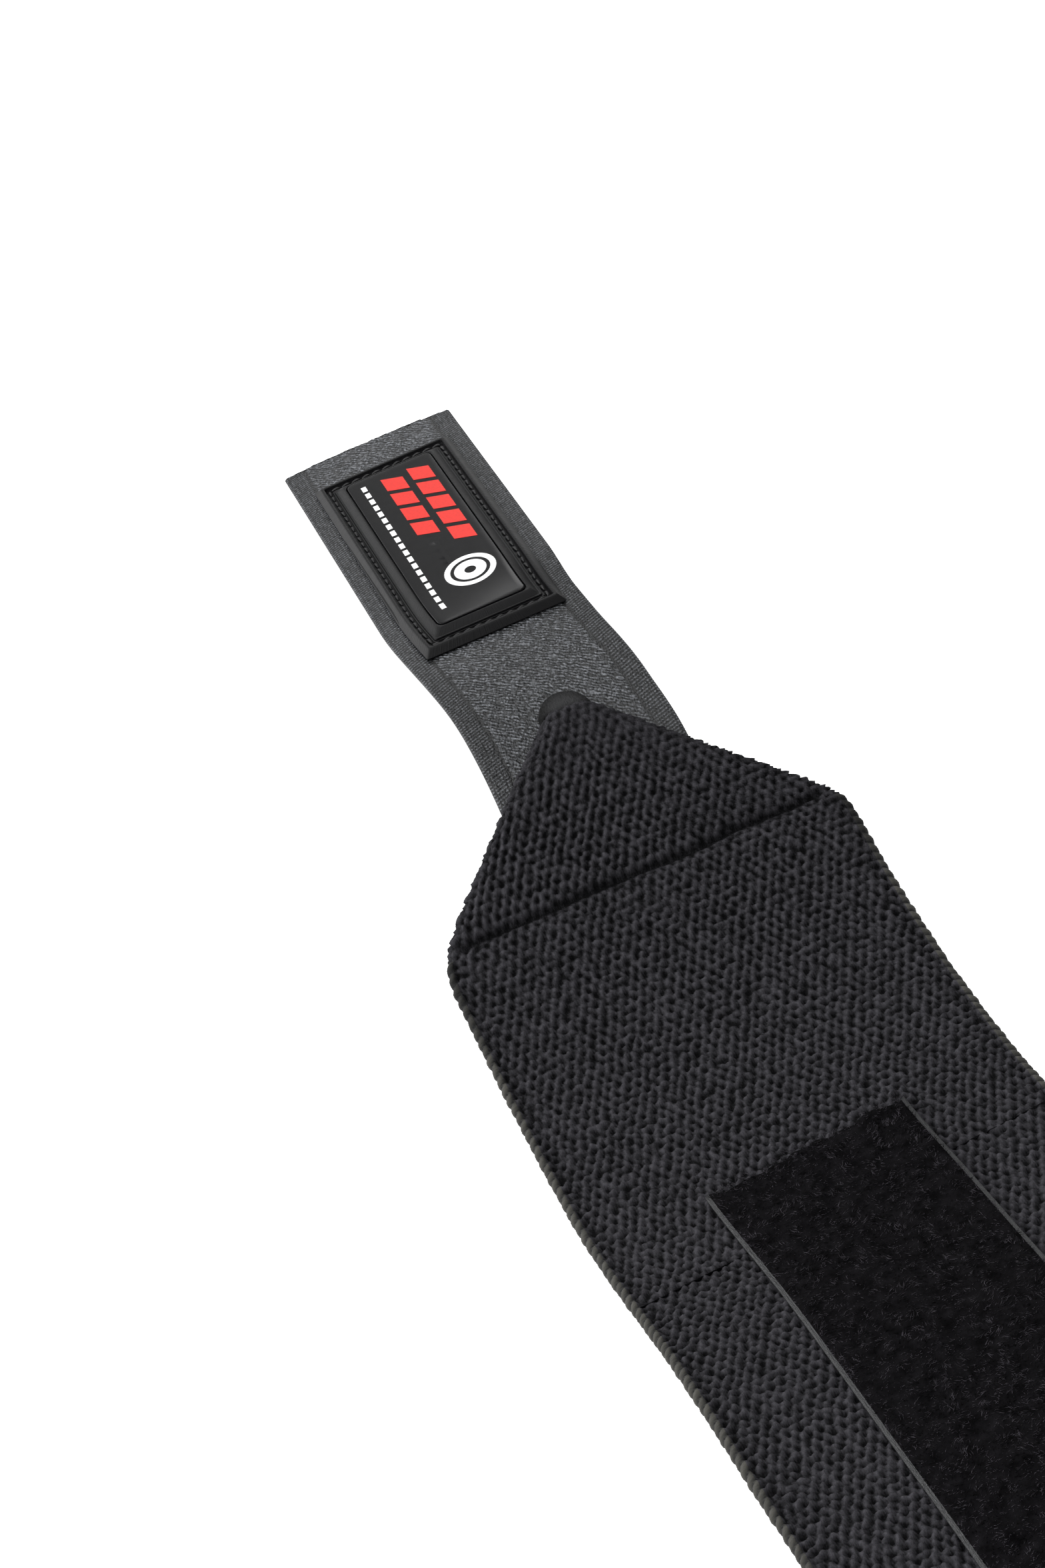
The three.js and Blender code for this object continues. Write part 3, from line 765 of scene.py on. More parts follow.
def loft_caps(rows, columns):
    """Fans that close the first and last rows of a grid whose last two points are their middles."""
    c, end = np.arange(columns), (rows - 1) * columns
    after = (c + 1) % columns
    start = np.stack([after, c, np.full(columns, rows * columns)], -1)
    stop = np.stack([c + end, after + end, np.full(columns, rows * columns + 1)], -1)
    return np.concatenate([start, stop])


def slopes(points):
    """The outward directions of a closed lofted surface, but for its first and last rows."""
    ahead = points[2:] - points[:-2]
    around = (np.roll(points, -1, axis=1) - np.roll(points, 1, axis=1))[1:-1]
    out = np.cross(around, ahead)
    return out / (np.linalg.norm(out, axis=2, keepdims=True) + 1e-12)


def knitted(name, lay, start, stop, materials):
    """One stretch of the elastic as a closed piece, whose slopes run on into the next one."""
    points, flat, level, on_edge = elastic_rows(start, stop)
    points = lay.bend(points).reshape(points.shape)
    outward = slopes(points).reshape(-1, 3)
    points, flat, level, on_edge = (grid[1:-1] for grid in (points, flat, level, on_edge))
    rows, columns = points.shape[:2]
    all_points = np.concatenate([points.reshape(-1, 3), [points[0].mean(0), points[-1].mean(0)]])
    all_flat = np.concatenate([flat.reshape(-1, 2), [flat[0].mean(0), flat[-1].mean(0)]])
    levels = np.concatenate([level.ravel(), [0.2, 0.2]])
    faces = quads(rows, columns, closed=True)
    made = piece(name, all_points, [faces, loft_caps(rows, columns)], materials[0], all_flat, levels)
    made.data.materials.append(materials[1])
    slots = np.zeros(len(made.data.polygons), np.int32)
    slots[: len(faces)] = on_edge.ravel()[faces].mean(1) > 0.5
    made.data.polygons.foreach_set("material_index", slots)
    ends = np.array([[0, 0, 1.0]] * 2)
    made.data.normals_split_custom_set_from_vertices(np.concatenate([outward, ends]))
    return made


HEM = (1.6, 4.8)  # the zigzag of the far end's hem lies between these, from the end
HEM_INSETS = (0.8, 2.5)  # and starts this far from the strap and from the elastic's side
HEM_STITCHES = 16
ELASTIC_PARTS = ("elastic_front", "elastic_middle", "elastic_rear")
SPLITS = (0.31, 0.655)


class WRAP_OT_elastic(bpy.types.Operator):
    """Knits the wide elastic with its folded point."""

    bl_idname = "wrap.elastic"
    bl_label = "Knit the elastic"
    bl_options = {"REGISTER", "UNDO"}

    def execute(self, context):
        lay, e = Lay(), elastic()
        materials = (knit_polyester(), knit_edge())
        step, front = e.course / GRID_SHARE, tab().reach + e.blunt
        places = [front] + [front + (wrap_end() - front) * share for share in SPLITS]
        places = [math.ceil(place / step) * step for place in places] + [wrap_end()]
        for k, (name, start, stop) in enumerate(zip(ELASTIC_PARTS, places, places[1:])):
            made = knitted(name, lay, start, stop, materials)
            dress(made, "knit_elastic", *(("elastic_band",) if k == 0 else ()))
            missing = e.width * (e.point - e.blunt) / 2 if k == 0 else 0
            area = (e.width * (stop - start) - missing) * MM**2
            e.width * MM
            (stop - start) * MM
        gap, outer = strip().strap / 2 + HEM_INSETS[0], e.width / 2 - HEM_INSETS[1]
        for name, side in (("hem_stitches_left", -1), ("hem_stitches_right", 1)):
            across = np.linspace(gap, outer, HEM_STITCHES + 1) * side
            ahead = wrap_end() - np.where(np.arange(HEM_STITCHES + 1) % 2, *HEM)
            pitch = math.hypot(across[1] - across[0], HEM[1] - HEM[0])
            path = np.stack([ahead, across], -1)
            dress(stitches(name, lay, path, 0.3, pitch, width=0.5), "knit_elastic")
        return {"FINISHED"}


WEFT_LEAN = 0.35  # how far the tape's crosswise threads slant


def weave_level(s, across):
    """Height of the tape's weave: fine ribs along its edges, uneven knots in the middle. It also tints the
    tape, as painted shade in its low places and along the line between the edges and the middle.
    """
    t = tab()
    lean = s + WEFT_LEAN * across
    ribs = 0.5 + 0.5 * np.cos(2 * math.pi * lean / t.rib)
    ribs = ribs * (0.8 + 0.2 * np.cos(2 * math.pi * across / t.pick))
    x, y = lean + 0.34 * drift(s, across, 1.1, 12), across + 0.22 * drift(s, across, 0.9, 13)
    knots = 0.5 + 0.5 * np.cos(2 * math.pi * x / t.cell) * np.cos(2 * math.pi * y / t.pick / 1.4)
    knots = knots * (0.55 + 0.6 * chance(np.round(x / t.cell * 2), np.round(y / t.pick / 0.7), 14))
    inward = t.width / 2 - np.abs(across) - t.selvedge
    middle = smooth_step(-0.4, 0.4, inward)
    line = np.exp(-((inward / 0.3) ** 2))
    return (ribs * (1 - middle) * 0.85 + knots * middle) * (1 - 0.6 * line)


TAPE_BASE = 0.7  # thickness of the tape without its hooks
TAPE_STEP, TAPE_COLUMNS = 0.225, (107, 15)
WEAVE_RELIEF = 0.32
CUT_BACK, CUT_BOW, CUT_REACH = 0.95, 0.9, 6  # the cut end bows out between its corners


class WRAP_OT_tab(bpy.types.Operator):
    """Weaves the hook tape, with its hooks and its cut end."""

    bl_idname = "wrap.tab"
    bl_label = "Weave the tab"
    bl_options = {"REGISTER", "UNDO"}

    def execute(self, context):
        lay, t = Lay(), tab()
        reach, half = seam_at() - t.root, t.width / 2
        s = np.arange(0, reach, TAPE_STEP)[:, None]
        over, under = (np.linspace(a, -a, n)[None, :] for a, n in zip((-half, half), TAPE_COLUMNS))
        level = weave_level(s, over)
        edge = 1 - smooth_step(0, 0.9, half - np.abs(over))
        top = tape_top() - 0.2 + WEAVE_RELIEF * level - SELVEDGE_DROP * edge * 1.6
        across = np.concatenate([over + 0 * s, under + 0 * s], 1)
        up = np.concatenate([top, tape_top() - TAPE_BASE + 0 * under + 0 * s], 1)
        rows, columns = up.shape
        cut = cut_end(across, half) - 0.16 * drift(across, 0 * across, 0.9, 15)
        along = s + np.clip(1 - s / CUT_REACH, 0, 1) * cut
        points = np.stack([along, across, up], -1)
        middles = np.stack([points[0].mean(0), points[-1].mean(0)])
        points = np.concatenate([points.reshape(-1, 3), middles])
        # The weave's level tints the top: painted shade in the gaps.
        levels = np.full((rows, columns), 0.3)
        levels[:, : level.shape[1]] = level
        faces = [quads(rows, columns, closed=True), loft_caps(rows, columns)]
        tape = piece("tape_weave", lay.bend(points), faces, woven_nylon(), points,
                     np.concatenate([levels.ravel(), [0.3, 0.3]]))
        dress(tape, "hook_tape", "hook_tab")
        t.width * MM
        dress(hook_field(lay, reach, half, tape_top() - TAPE_BASE), "hook_tape")
        dress(frayed_end(lay, half), "hook_tape")
        return {"FINISHED"}


def cut_end(across, half):
    """How far the tape's cut end stands back, at places across it."""
    return CUT_BACK - CUT_BOW * (1 - (across / half) ** 2)


FRAY_COUNT = 90


def frayed_end(lay, half):
    """Short loose fibres along the tape's cut end."""
    rng, n = np.random.default_rng(17), FRAY_COUNT
    y = rng.uniform(-half + 0.4, half - 0.4, n)
    s = cut_end(y, half)
    h = tape_top() - rng.uniform(0.1, TAPE_BASE - 0.1, n)
    reach, aside = rng.uniform(0.15, 0.75, n), rng.uniform(-0.4, 0.4, n)
    tip = np.stack([s - reach, y + aside, h + rng.uniform(-0.1, 0.3, n)], -1)
    root = np.stack([s + 0.15, y, h], -1)[:, None]
    turn = np.arange(3) * 2 * math.pi / 3
    base = root + 0.06 * np.stack([0 * turn, np.cos(turn), np.sin(turn)], -1)
    return spikes("tape_fray", lay, base, tip, drawn_nylon("frayed_nylon", colours().fibre))


def spikes(name, lay, bases, tips, material):
    """Many thin spikes, each a triangle and a tip."""
    points = np.concatenate([bases, tips[:, None]], 1).reshape(-1, 3)
    index = np.arange(len(points)).reshape(-1, 4)
    faces = np.concatenate([index[:, k] for k in ([0, 1, 3], [1, 2, 3], [2, 0, 3], [2, 1, 0])])
    return piece(name, lay.bend(points), faces, material, points)


HOOK_SPACING = (2.0, 1.6)
HOOK_HEIGHT = 0.85
HOOK_SECTION = ((0.09, 0), (-0.05, 0.08), (-0.05, -0.08))


def hook_field(lay, reach, half, level):
    """Rows of small nylon hooks on the tape's underside."""
    rng, selvedge = np.random.default_rng(5), tab().selvedge
    along = np.arange(2, reach - 1, HOOK_SPACING[0])
    across = np.arange(-half + selvedge, half - selvedge, HOOK_SPACING[1])
    s, y = (v.ravel()[:, None] for v in np.meshgrid(along, across))
    s = s + rng.uniform(-0.2, 0.2, s.shape)
    lean = np.where((np.round(y / HOOK_SPACING[1]) % 2) == 0, 1.0, -1.0)
    turn = np.array([0, 0.9, 1.8, 2.7])
    path_s, path_h = np.array([0, 0.05, 0.35, 0.6]), np.array([0.1, -0.6, -HOOK_HEIGHT, -0.55])
    corners = []
    for a, b in HOOK_SECTION:
        x = s + lean * (path_s + a * np.cos(turn))
        corners.append(np.stack([x, y + b + 0 * x, level + path_h + a * np.sin(turn) + 0 * x], -1))
    points = np.stack(corners, 2)
    index = np.arange(points.size // 3).reshape(points.shape[:3])
    faces = []
    for k in range(3):
        a, b = index[:, :, k], index[:, :, (k + 1) % 3]
        faces.append(np.stack([a[:, :-1], b[:, :-1], b[:, 1:], a[:, 1:]], -1).reshape(-1, 4))
    ends = np.concatenate([index[:, 0, ::-1], index[:, -1]])
    flat = points.reshape(-1, 3)
    return piece("tape_hooks", lay.bend(flat), [np.concatenate(faces), ends],
                 drawn_nylon("drawn_nylon", colours().tape), flat)


TIP_DOME = 1.5
TIP_RINGS = (0.8, 0.74, 0.66, 0.56, 0.44, 0.3, 0.14)  # of its top, as shares of its radius


class WRAP_OT_tip(bpy.types.Operator):
    """Presses the felt tip that peeks out at the sharp point."""

    bl_idname = "wrap.tip"
    bl_label = "Press the tip"
    bl_options = {"REGISTER", "UNDO"}

    def execute(self, context):
        lay, t = Lay(), tab()
        radius, root, middle = t.tip_radius, t.tip_root, t.reach + t.tip_radius
        turn = np.linspace(0.5 * math.pi, 1.5 * math.pi, 33)
        outline = [(middle + radius * math.cos(a), radius * math.sin(a)) for a in turn]
        outline += [(middle + root * k / 4, -radius) for k in (1, 2, 3, 4)]
        outline += [(middle + root, radius * k / 4) for k in (-3, -2, -1, 0, 1, 2, 3)]
        outline += [(middle + root * k / 4, radius) for k in (4, 3, 2, 1)]
        outline = np.array(outline)
        bottom, top = flap_bottom(), -elastic().thickness - CLEARANCE
        rings = []
        for k in np.linspace(-1, 1, 9):
            rise = (top + bottom) / 2 + (top - bottom) / 2 * math.sin(k * math.pi / 2)
            rings.append((1 - 0.16 * abs(k) ** 3, rise))
        rings += [(share, top) for share in TIP_RINGS]
        points = np.array([[(middle + (x - middle) * share, y * share, h) for x, y in outline]
                           for share, h in rings])
        x, y, h = np.moveaxis(points, -1, 0)
        knit = smooth_step(0, 2, x - t.reach - elastic().blunt)
        dome = np.sqrt(np.clip(1 - ((x - middle) ** 2 + y**2) / radius**2, 0, 1)) * (1 - knit)
        dome = dome * smooth_step(bottom, top, h)
        points[..., 2] += TIP_DOME * dome
        rows, columns = points.shape[:2]
        flat = points.reshape(-1, 3)
        faces = [quads(rows, columns, closed=True), end_caps(rows, columns)]
        # The levels, the dome cubed, paint a highlight on the dome's top and shade down its sides.
        tip = piece("felt_tip", lay.bend(flat), faces, pressed_felt(), flat, dome.ravel() ** 3)
        dress(tip, "felt", "point_tip")
        return {"FINISHED"}


CORNER_STEPS, SIDE_STEPS = 8, 40
CREASE = 38  # edges sharper than this many degrees stay sharp
BADGE_CORNER, SEAT_CORNER = 0.4, 1.5
# The block's bevel: shares of its climb, and how far it stands out there. A bead runs at its foot
BEVEL_RINGS = ((0.03, 0.1), (0.08, 0.2), (0.13, 0.14), (0.17, -0.04), (0.22, 0.14), (0.28, 0.2),
               (0.34, 0.1), (0.38, 0), (0.55, 0), (0.75, 0), (0.97, 0))


def round_ring(half_length, half_width, radius):
    """A rectangle with round corners, its sides stepped so that they bend."""
    arcs = []
    for quarter, (x, y) in enumerate(((1, 1), (-1, 1), (-1, -1), (1, -1))):
        turn = math.pi / 2 * (quarter + np.arange(CORNER_STEPS + 1) / CORNER_STEPS)
        middle = np.array([x * (half_length - radius), y * (half_width - radius)])
        arcs.append(middle + radius * np.stack([np.cos(turn), np.sin(turn)], -1))
    ring = []
    for quarter, (arc, following) in enumerate(zip(arcs, arcs[1:] + arcs[:1])):
        steps = SIDE_STEPS if quarter % 2 == 0 else SIDE_STEPS // 3
        share = np.arange(1, steps)[:, None] / steps
        ring += [arc, arc[-1] * (1 - share) + following[0] * share]
    return np.concatenate(ring)


def moulding(name, lay, rings, material):
    """A closed moulding through rings of (inset, up, radius) in the badge's plane. Its pattern
    runs round the ring and up its faces."""
    b = badge()
    middle = b.setback + b.reach / 2
    points, cloth, climb = [], [], 0.0
    for k, (inset, up, radius) in enumerate(rings):
        half_length, half_width = b.reach / 2 - inset, b.width / 2 - inset
        ring = round_ring(half_length, half_width, min(radius, 0.6 * half_width))
        points.append(np.stack([ring[:, 0] + middle, ring[:, 1], np.full(len(ring), up)], -1))
        if k == 0:
            run = run_along(ring)
            around = run[-1] + math.dist(ring[0], ring[-1])
        else:
            climb += math.dist((inset, up), rings[k - 1][:2])
        cloth.append(np.stack([run, np.full(len(ring), climb)], -1))
    rows, columns = len(rings), len(points[0])
    flat = np.concatenate(points)
    faces = [quads(rows, columns, closed=True)]
    caps = []
    for row, flip in ((0, True), (rows - 1, False)):
        ring = points[row]
        triangles = tessellate_polygon([[Vector((p[0], p[1], 0)) for p in ring]])
        triangles = np.array(triangles) + row * columns
        first = flat[triangles[0]]
        turned = np.cross(first[1] - first[0], first[2] - first[0])[2] > 0
        caps.append(triangles[:, ::-1] if turned == flip else triangles)
    made = piece(name, lay.bend(flat), faces + [np.concatenate(caps)], material, np.concatenate(cloth),
                 around=around)
    made.data.set_sharp_from_angle(angle=math.radians(CREASE))
    return made


def badge_levels():
    """Height of the badge's foot, and the insets of its block and of the panel's seat."""
    b = badge()
    foot = tape_top() + CLEARANCE
    bevel = b.rim_width + b.groove
    seat = bevel + b.bevel + b.lip
    return foot, bevel, seat


class WRAP_OT_badge(bpy.types.Operator):
    """Moulds the rubber badge and sews it down along its groove."""

    bl_idname = "wrap.badge"
    bl_label = "Mould the badge"
    bl_options = {"REGISTER", "UNDO"}

    def execute(self, context):
        lay, b = Lay(), badge()
        foot, bevel, seat = badge_levels()
        rim, high, floor, wide = b.rim_height, b.height, b.groove_floor, b.rim_width
        rings = [(0, 0), (0, 0.2)]
        rings += [(b.rim_slope * k, 0.2 + (rim - 0.2) * k) for k in (0.03, 0.25, 0.5, 0.75, 0.94)]
        rings += [(b.rim_slope + 0.04, rim - 0.02), (wide - 0.24, rim), (wide - 0.1, rim - 0.08),
                  (wide - 0.04, rim - 0.25), (wide, floor + 0.1), (wide + 0.08, floor),
                  (bevel - 0.1, floor), (bevel, floor + 0.05)]
        rings = [(*ring, BADGE_CORNER) for ring in rings]
        rings += [(bevel + b.bevel * k - raised * 0.6, floor + (high - floor) * k + raised * 0.8,
                   BADGE_CORNER + 0.2 * k) for k, raised in BEVEL_RINGS]
        rings += [(bevel + b.bevel + 0.05, high, SEAT_CORNER * 0.8), (seat - 0.05, high, SEAT_CORNER),
                  (seat + 0.01, high - 0.06, SEAT_CORNER), (seat + 0.02, high - b.sink, SEAT_CORNER)]
        rings = [(inset, foot + up, radius) for inset, up, radius in rings]
        body = moulding("badge_rubber", lay, rings, moulded_rubber())
        dress(body, "moulded_rubber", "badge")
        inset, middle = wide + b.groove * 0.55, [b.setback + b.reach / 2, 0]
        ring = round_ring(b.reach / 2 - inset, b.width / 2 - inset, BADGE_CORNER) + middle
        sewn = stitches("badge_stitches", lay, ring, foot + floor + 0.2, b.stitch, closed=True, width=0.62)
        dress(sewn, "moulded_rubber")
        return {"FINISHED"}


def run_along(path):
    """Length of a path up to each of its points."""
    return np.concatenate([[0], np.cumsum(np.linalg.norm(np.diff(path, axis=0), axis=1))])


def resampled(path, step):
    """The same path with even steps."""
    run = run_along(path)
    even = np.arange(0, run[-1], step)
    return np.stack([np.interp(even, run, path[:, k]) for k in range(path.shape[1])], -1)


STITCH_STEPS, STITCH_SIDES = 7, 8
STITCH_ENDS = (0.08, 0.92)  # where a stitch starts and stops in its pitch
STITCH_BOW, STITCH_LEAN = 0.16, (0.05, 0.06)  # its bow up, its lean, and how far the lean strays


def stitches(name, lay, path, up, pitch, closed=False, width=0.32):
    """A row of thread stitches along a flat path, each a short bowed bead."""
    path = np.concatenate([path, path[:1]]) if closed else path
    run, rng = run_along(path), np.random.default_rng(11)
    count = max(2, round(run[-1] / pitch))
    steps = np.arange(STITCH_STEPS)[:, None]
    bow = np.sin(steps * math.pi / (STITCH_STEPS - 1))
    turn = np.linspace(0, 2 * math.pi, STITCH_SIDES, endpoint=False)
    radius = width / 2 * (0.45 + 0.55 * bow)
    rise = up + STITCH_BOW * (bow - 0.5) + radius * np.sin(turn)
    faces = [quads(STITCH_STEPS, STITCH_SIDES, closed=True), end_caps(STITCH_STEPS, STITCH_SIDES)]
    parts = []
    for k in range(count):
        span = (k + np.linspace(*STITCH_ENDS, STITCH_STEPS)) * run[-1] / count
        place = np.stack([np.interp(span, run, path[:, i]) for i in (0, 1)], -1)
        ahead = place[-1] - place[0]
        ahead /= np.linalg.norm(ahead) + 1e-9
        lean = STITCH_LEAN[0] + STITCH_LEAN[1] * rng.uniform(-1, 1)
        off = radius * np.cos(turn) + lean * (steps - STITCH_STEPS // 2) * 0.5
        x, y = place[:, :1] - ahead[1] * off, place[:, 1:] + ahead[0] * off
        parts.append((np.stack([x, y, rise], -1), faces))
    points, faces = merged(parts)
    return piece(name, lay.bend(points), faces, bonded_thread(), points)


# The print: slanted bars, a dashed line and a plain weight plate, in shares of the panel's sides
RED_ROWS = ((0.29, (0.05, 0.16, 0.27, 0.38, 0.49), 0.23), (-0.02, (0.05, 0.16, 0.27, 0.38), 0.23))
BAR_LENGTH, BAR_SLANT = 0.085, 0.035
DASHES = np.arange(0.05, 0.93, 0.047)
DASH = (0.032, -0.37, -0.315)  # length of a dash, and its lower and upper side
PLATE_AT = (0.78, 0.13)
PLATE_RINGS = ((5.3, 4.1), (3.3, 1.2))  # outer and inner radius of each ring, in millimetres
INK = 0.05  # thickness of the ink
PANEL_CORNER, PANEL_ROUNDING = 1.3, 0.2
PANEL_INSETS = (1.2, 2.8, 4.4, 6, 7.6)  # of the rings that let the panel's face bend


def plate(outline, up, thickness):
    """A thin printed shape with its outline raised by its thickness."""
    flat, count = np.array(outline), len(outline)
    triangles = np.array(tessellate_polygon([[Vector((x, y, 0)) for x, y in outline]]))
    a, b, c = flat[triangles[0]]
    if np.cross(b - a, c - a) < 0:
        triangles = triangles[:, ::-1]
    points = np.concatenate([np.insert(flat, 2, h, axis=1) for h in (up, up + thickness)])
    index = np.arange(count)
    ahead = np.roll(index, -1)
    sides = np.stack([index, ahead, ahead + count, index + count], -1)
    if np.cross(flat, np.roll(flat, -1, axis=0)).sum() < 0:
        sides = sides[:, ::-1]
    return points, [np.concatenate([triangles[:, ::-1], triangles + count]), sides]


def printed_ring(middle, outer, inner, up, thickness):
    """A thin printed ring."""
    turn = np.linspace(0, 2 * math.pi, 49)[:-1]
    rings = ((inner, 0), (outer, 0), (outer, thickness), (inner, thickness))
    x, y = middle
    points = [np.stack([x + r * np.cos(turn), y + r * np.sin(turn), up + h + 0 * turn], -1)
              for r, h in rings]
    index = np.arange(4 * len(turn)).reshape(4, -1)
    around, above = np.roll(index, -1, axis=1), np.roll(index, -1, axis=0)
    faces = np.stack([index, around, np.roll(around, -1, axis=0), above], -1)[..., ::-1]
    return np.concatenate(points), faces.reshape(-1, 4)


class WRAP_OT_panel(bpy.types.Operator):
    """Casts the glossy panel and prints its plain design."""

    bl_idname = "wrap.panel"
    bl_label = "Cast the panel"
    bl_options = {"REGISTER", "UNDO"}

    def execute(self, context):
        lay, b = Lay(), badge()
        foot, _, seat = badge_levels()
        inset, bottom = seat + CLEARANCE, foot + b.height - b.sink + CLEARANCE
        top, small = bottom + b.panel, PANEL_ROUNDING
        rings = [(inset, bottom), (inset, top - small)]
        rings += [(inset + small * (1 - math.cos(a)), top - small + small * math.sin(a))
                  for a in np.linspace(0.4, math.pi / 2, 4)]
        rings += [(inset + k, top) for k in (*PANEL_INSETS, b.width / 2 - inset - 0.5)]
        rings = [(*ring, PANEL_CORNER) for ring in rings]
        panel = moulding("badge_gloss", lay, rings, cast_polyurethane())
        dress(panel, "gloss_panel", "badge_panel")
        long, wide = b.reach - 2 * inset, b.width - 2 * inset
        start = b.setback + inset
        at = lambda u, v: (start + u * long, v * wide)
        box = lambda u, low, width, high, slant: bent_outline(
            [at(u, low), at(u + width, low), at(u + width + slant, high), at(u + slant, high)])
        red = [plate(box(u, row - height / 2, BAR_LENGTH, row + height / 2, BAR_SLANT), top, INK)
               for row, places, height in RED_ROWS for u in places]
        width, low, high = DASH
        white = [plate(box(u, low, width, high, 0), top, INK) for u in DASHES]
        white += [printed_ring(at(*PLATE_AT), outer, inner, top, INK) for outer, inner in PLATE_RINGS]
        inks = (("print_red", red, colours().red), ("print_white", white, colours().white))
        for name, parts, tint in inks:
            points, faces = merged(parts)
            ink = screen_print(name, tint)
            dress(piece(name, lay.bend(points), faces, ink, points, smooth_faces=False), "gloss_panel")
        return {"FINISHED"}


def bent_outline(shape, step=1.5):
    """A straight-sided outline with its sides stepped, so that it bends with the panel."""
    out = []
    for (x, y), (next_x, next_y) in zip(shape, shape[1:] + shape[:1]):
        count = max(1, math.ceil(math.dist((x, y), (next_x, next_y)) / step))
        out += [(x + (next_x - x) * k / count, y + (next_y - y) * k / count) for k in range(count)]
    return out


def solid_grid(s, across, up_top, up_bottom):
    """A closed slab over a grid of places: top points, then bottom points, and all its faces."""
    grids = [np.stack([s + 0 * up, across + 0 * up, up], -1).reshape(-1, 3)
             for up in (up_top, up_bottom)]
    rows, columns = up_top.shape
    top, below = quads(rows, columns), rows * columns
    index = np.arange(below).reshape(rows, columns)
    border = np.concatenate([index[0], index[1:, -1], index[-1, -2::-1], index[-2:0:-1, 0]])
    ahead = np.roll(border, -1)
    sides = np.stack([ahead, border, border + below, ahead + below], -1)
    return np.concatenate(grids), np.concatenate([top, top[:, ::-1] + below, sides])


def pile_lumps(s, across):
    """Unevenness of the brushed pile, in millimetres."""
    return 0.26 * drift(s, across, 3.6, 21) + 0.22 * drift(s, across, 1.4, 22)


STRIP_STEP, STRIP_COLUMNS = 0.95, 54
STRIP_EDGE = (0, 0.35, 0.75)  # places of the selvedge's columns, as shares of its width


class WRAP_OT_strip(bpy.types.Operator):
    """Lays the loop strip and brushes up its pile."""

    bl_idname = "wrap.strip"
    bl_label = "Lay the loop strip"
    bl_options = {"REGISTER", "UNDO"}

    def execute(self, context):
        lay, p = Lay(), strip()
        start, stop = tab().reach + p.setback, wrap_end() - p.end_inset
        half, edge = p.width / 2, p.selvedge
        rows, edges = np.arange(start, stop, STRIP_STEP)[:, None], half - edge * np.array(STRIP_EDGE)
        inner = half - edge - 0.1
        across = [-edges, np.linspace(-inner, inner, STRIP_COLUMNS), edges[::-1]]
        across = np.concatenate(across)[None, :]
        pile = (np.abs(across) < half - edge) * 1.0
        cord = 0.15 * np.exp(-(((half - np.abs(across) - edge * 0.5) / (edge * 0.4)) ** 2)) * (1 - pile)
        cover = p.pile * 0.72 + pile_lumps(rows, across)
        fade = smooth_step(0, 1.4, rows - start) * smooth_step(0, 1.4, stop - rows)
        top = CLEARANCE + p.base + cord + pile * (cover - p.base) * fade
        points, faces = solid_grid(rows, across, top, CLEARANCE + 0 * top)
        points[:, 0] += np.where(points[:, 0] < start + 0.5, 0.8 * drift(0, points[:, 1], 2.2, 25), 0)
        made = piece("strip_base", lay.bend(points), faces, brushed_loop(), points)
        made.data.materials.append(woven_edge())
        slots = (np.abs(points[:, 1])[faces].min(1) > half - edge - 0.05).astype(np.int32)
        made.data.polygons.foreach_set("material_index", slots)
        dress(made, "loop_pile", "loop_strip")
        size = (p.width * MM, (stop - start) * MM)
        dress(strands(lay, start, stop, half - edge * 0.75, CLEARANCE + p.pile * 0.66), "loop_pile")
        return {"FINISHED"}


STRAND_COUNT = 44000


def strands(lay, start, stop, half, level):
    """Fine curled strands of the pile, in tufts, each a thin three-sided spike."""
    rng, n = np.random.default_rng(7), STRAND_COUNT
    s, y = rng.uniform(start - 0.9, stop, n), rng.uniform(-half, half, n)
    comb = math.pi * (drift(s, y, 2.6, 23) + 0.4 * rng.uniform(-1, 1, n))
    reach = rng.uniform(0.7, 1.5, n) * (0.8 + 0.3 * drift(s, y, 3.4, 24))
    up = reach * rng.uniform(0.15, 0.62, n)
    width = rng.uniform(0.05, 0.11, n)[:, None]
    root = np.stack([s, y, level + pile_lumps(s, y)], -1)
    turn = comb[:, None] + np.arange(3) * 2 * math.pi / 3
    bases = root[:, None] + np.stack([width * np.cos(turn), width * np.sin(turn), 0 * turn], -1)
    tips = root + np.stack([np.cos(comb) * reach, np.sin(comb) * reach, up], -1)
    tips[:, 1] = np.clip(tips[:, 1], -half - 0.5, half + 0.5)
    return spikes("loop_strands", lay, bases, tips, crimped_nylon())


def drop_point(turn, rise):
    """One point of the thumb loop's middle line, a drop shape with its lower side let down."""
    p = strip()
    long, high = p.loop_length - p.strap_thickness / 2, p.loop_height - p.strap_thickness
    widest = math.sin(2 * math.pi / 3) * math.sin(math.pi / 3) ** 2
    x = long * (1 - np.cos(turn)) / 2
    y = np.sin(turn) * np.sin(turn / 2) ** 2 / widest
    return np.stack([x, rise * x / long - y * high / 2], -1)


LOOP_STEP = 0.35
LOOP_OPENS = 5.5  # the two legs part this far behind the elastic's end
RIB_HEIGHT, RIB_SPACING = 0.05, 1.4


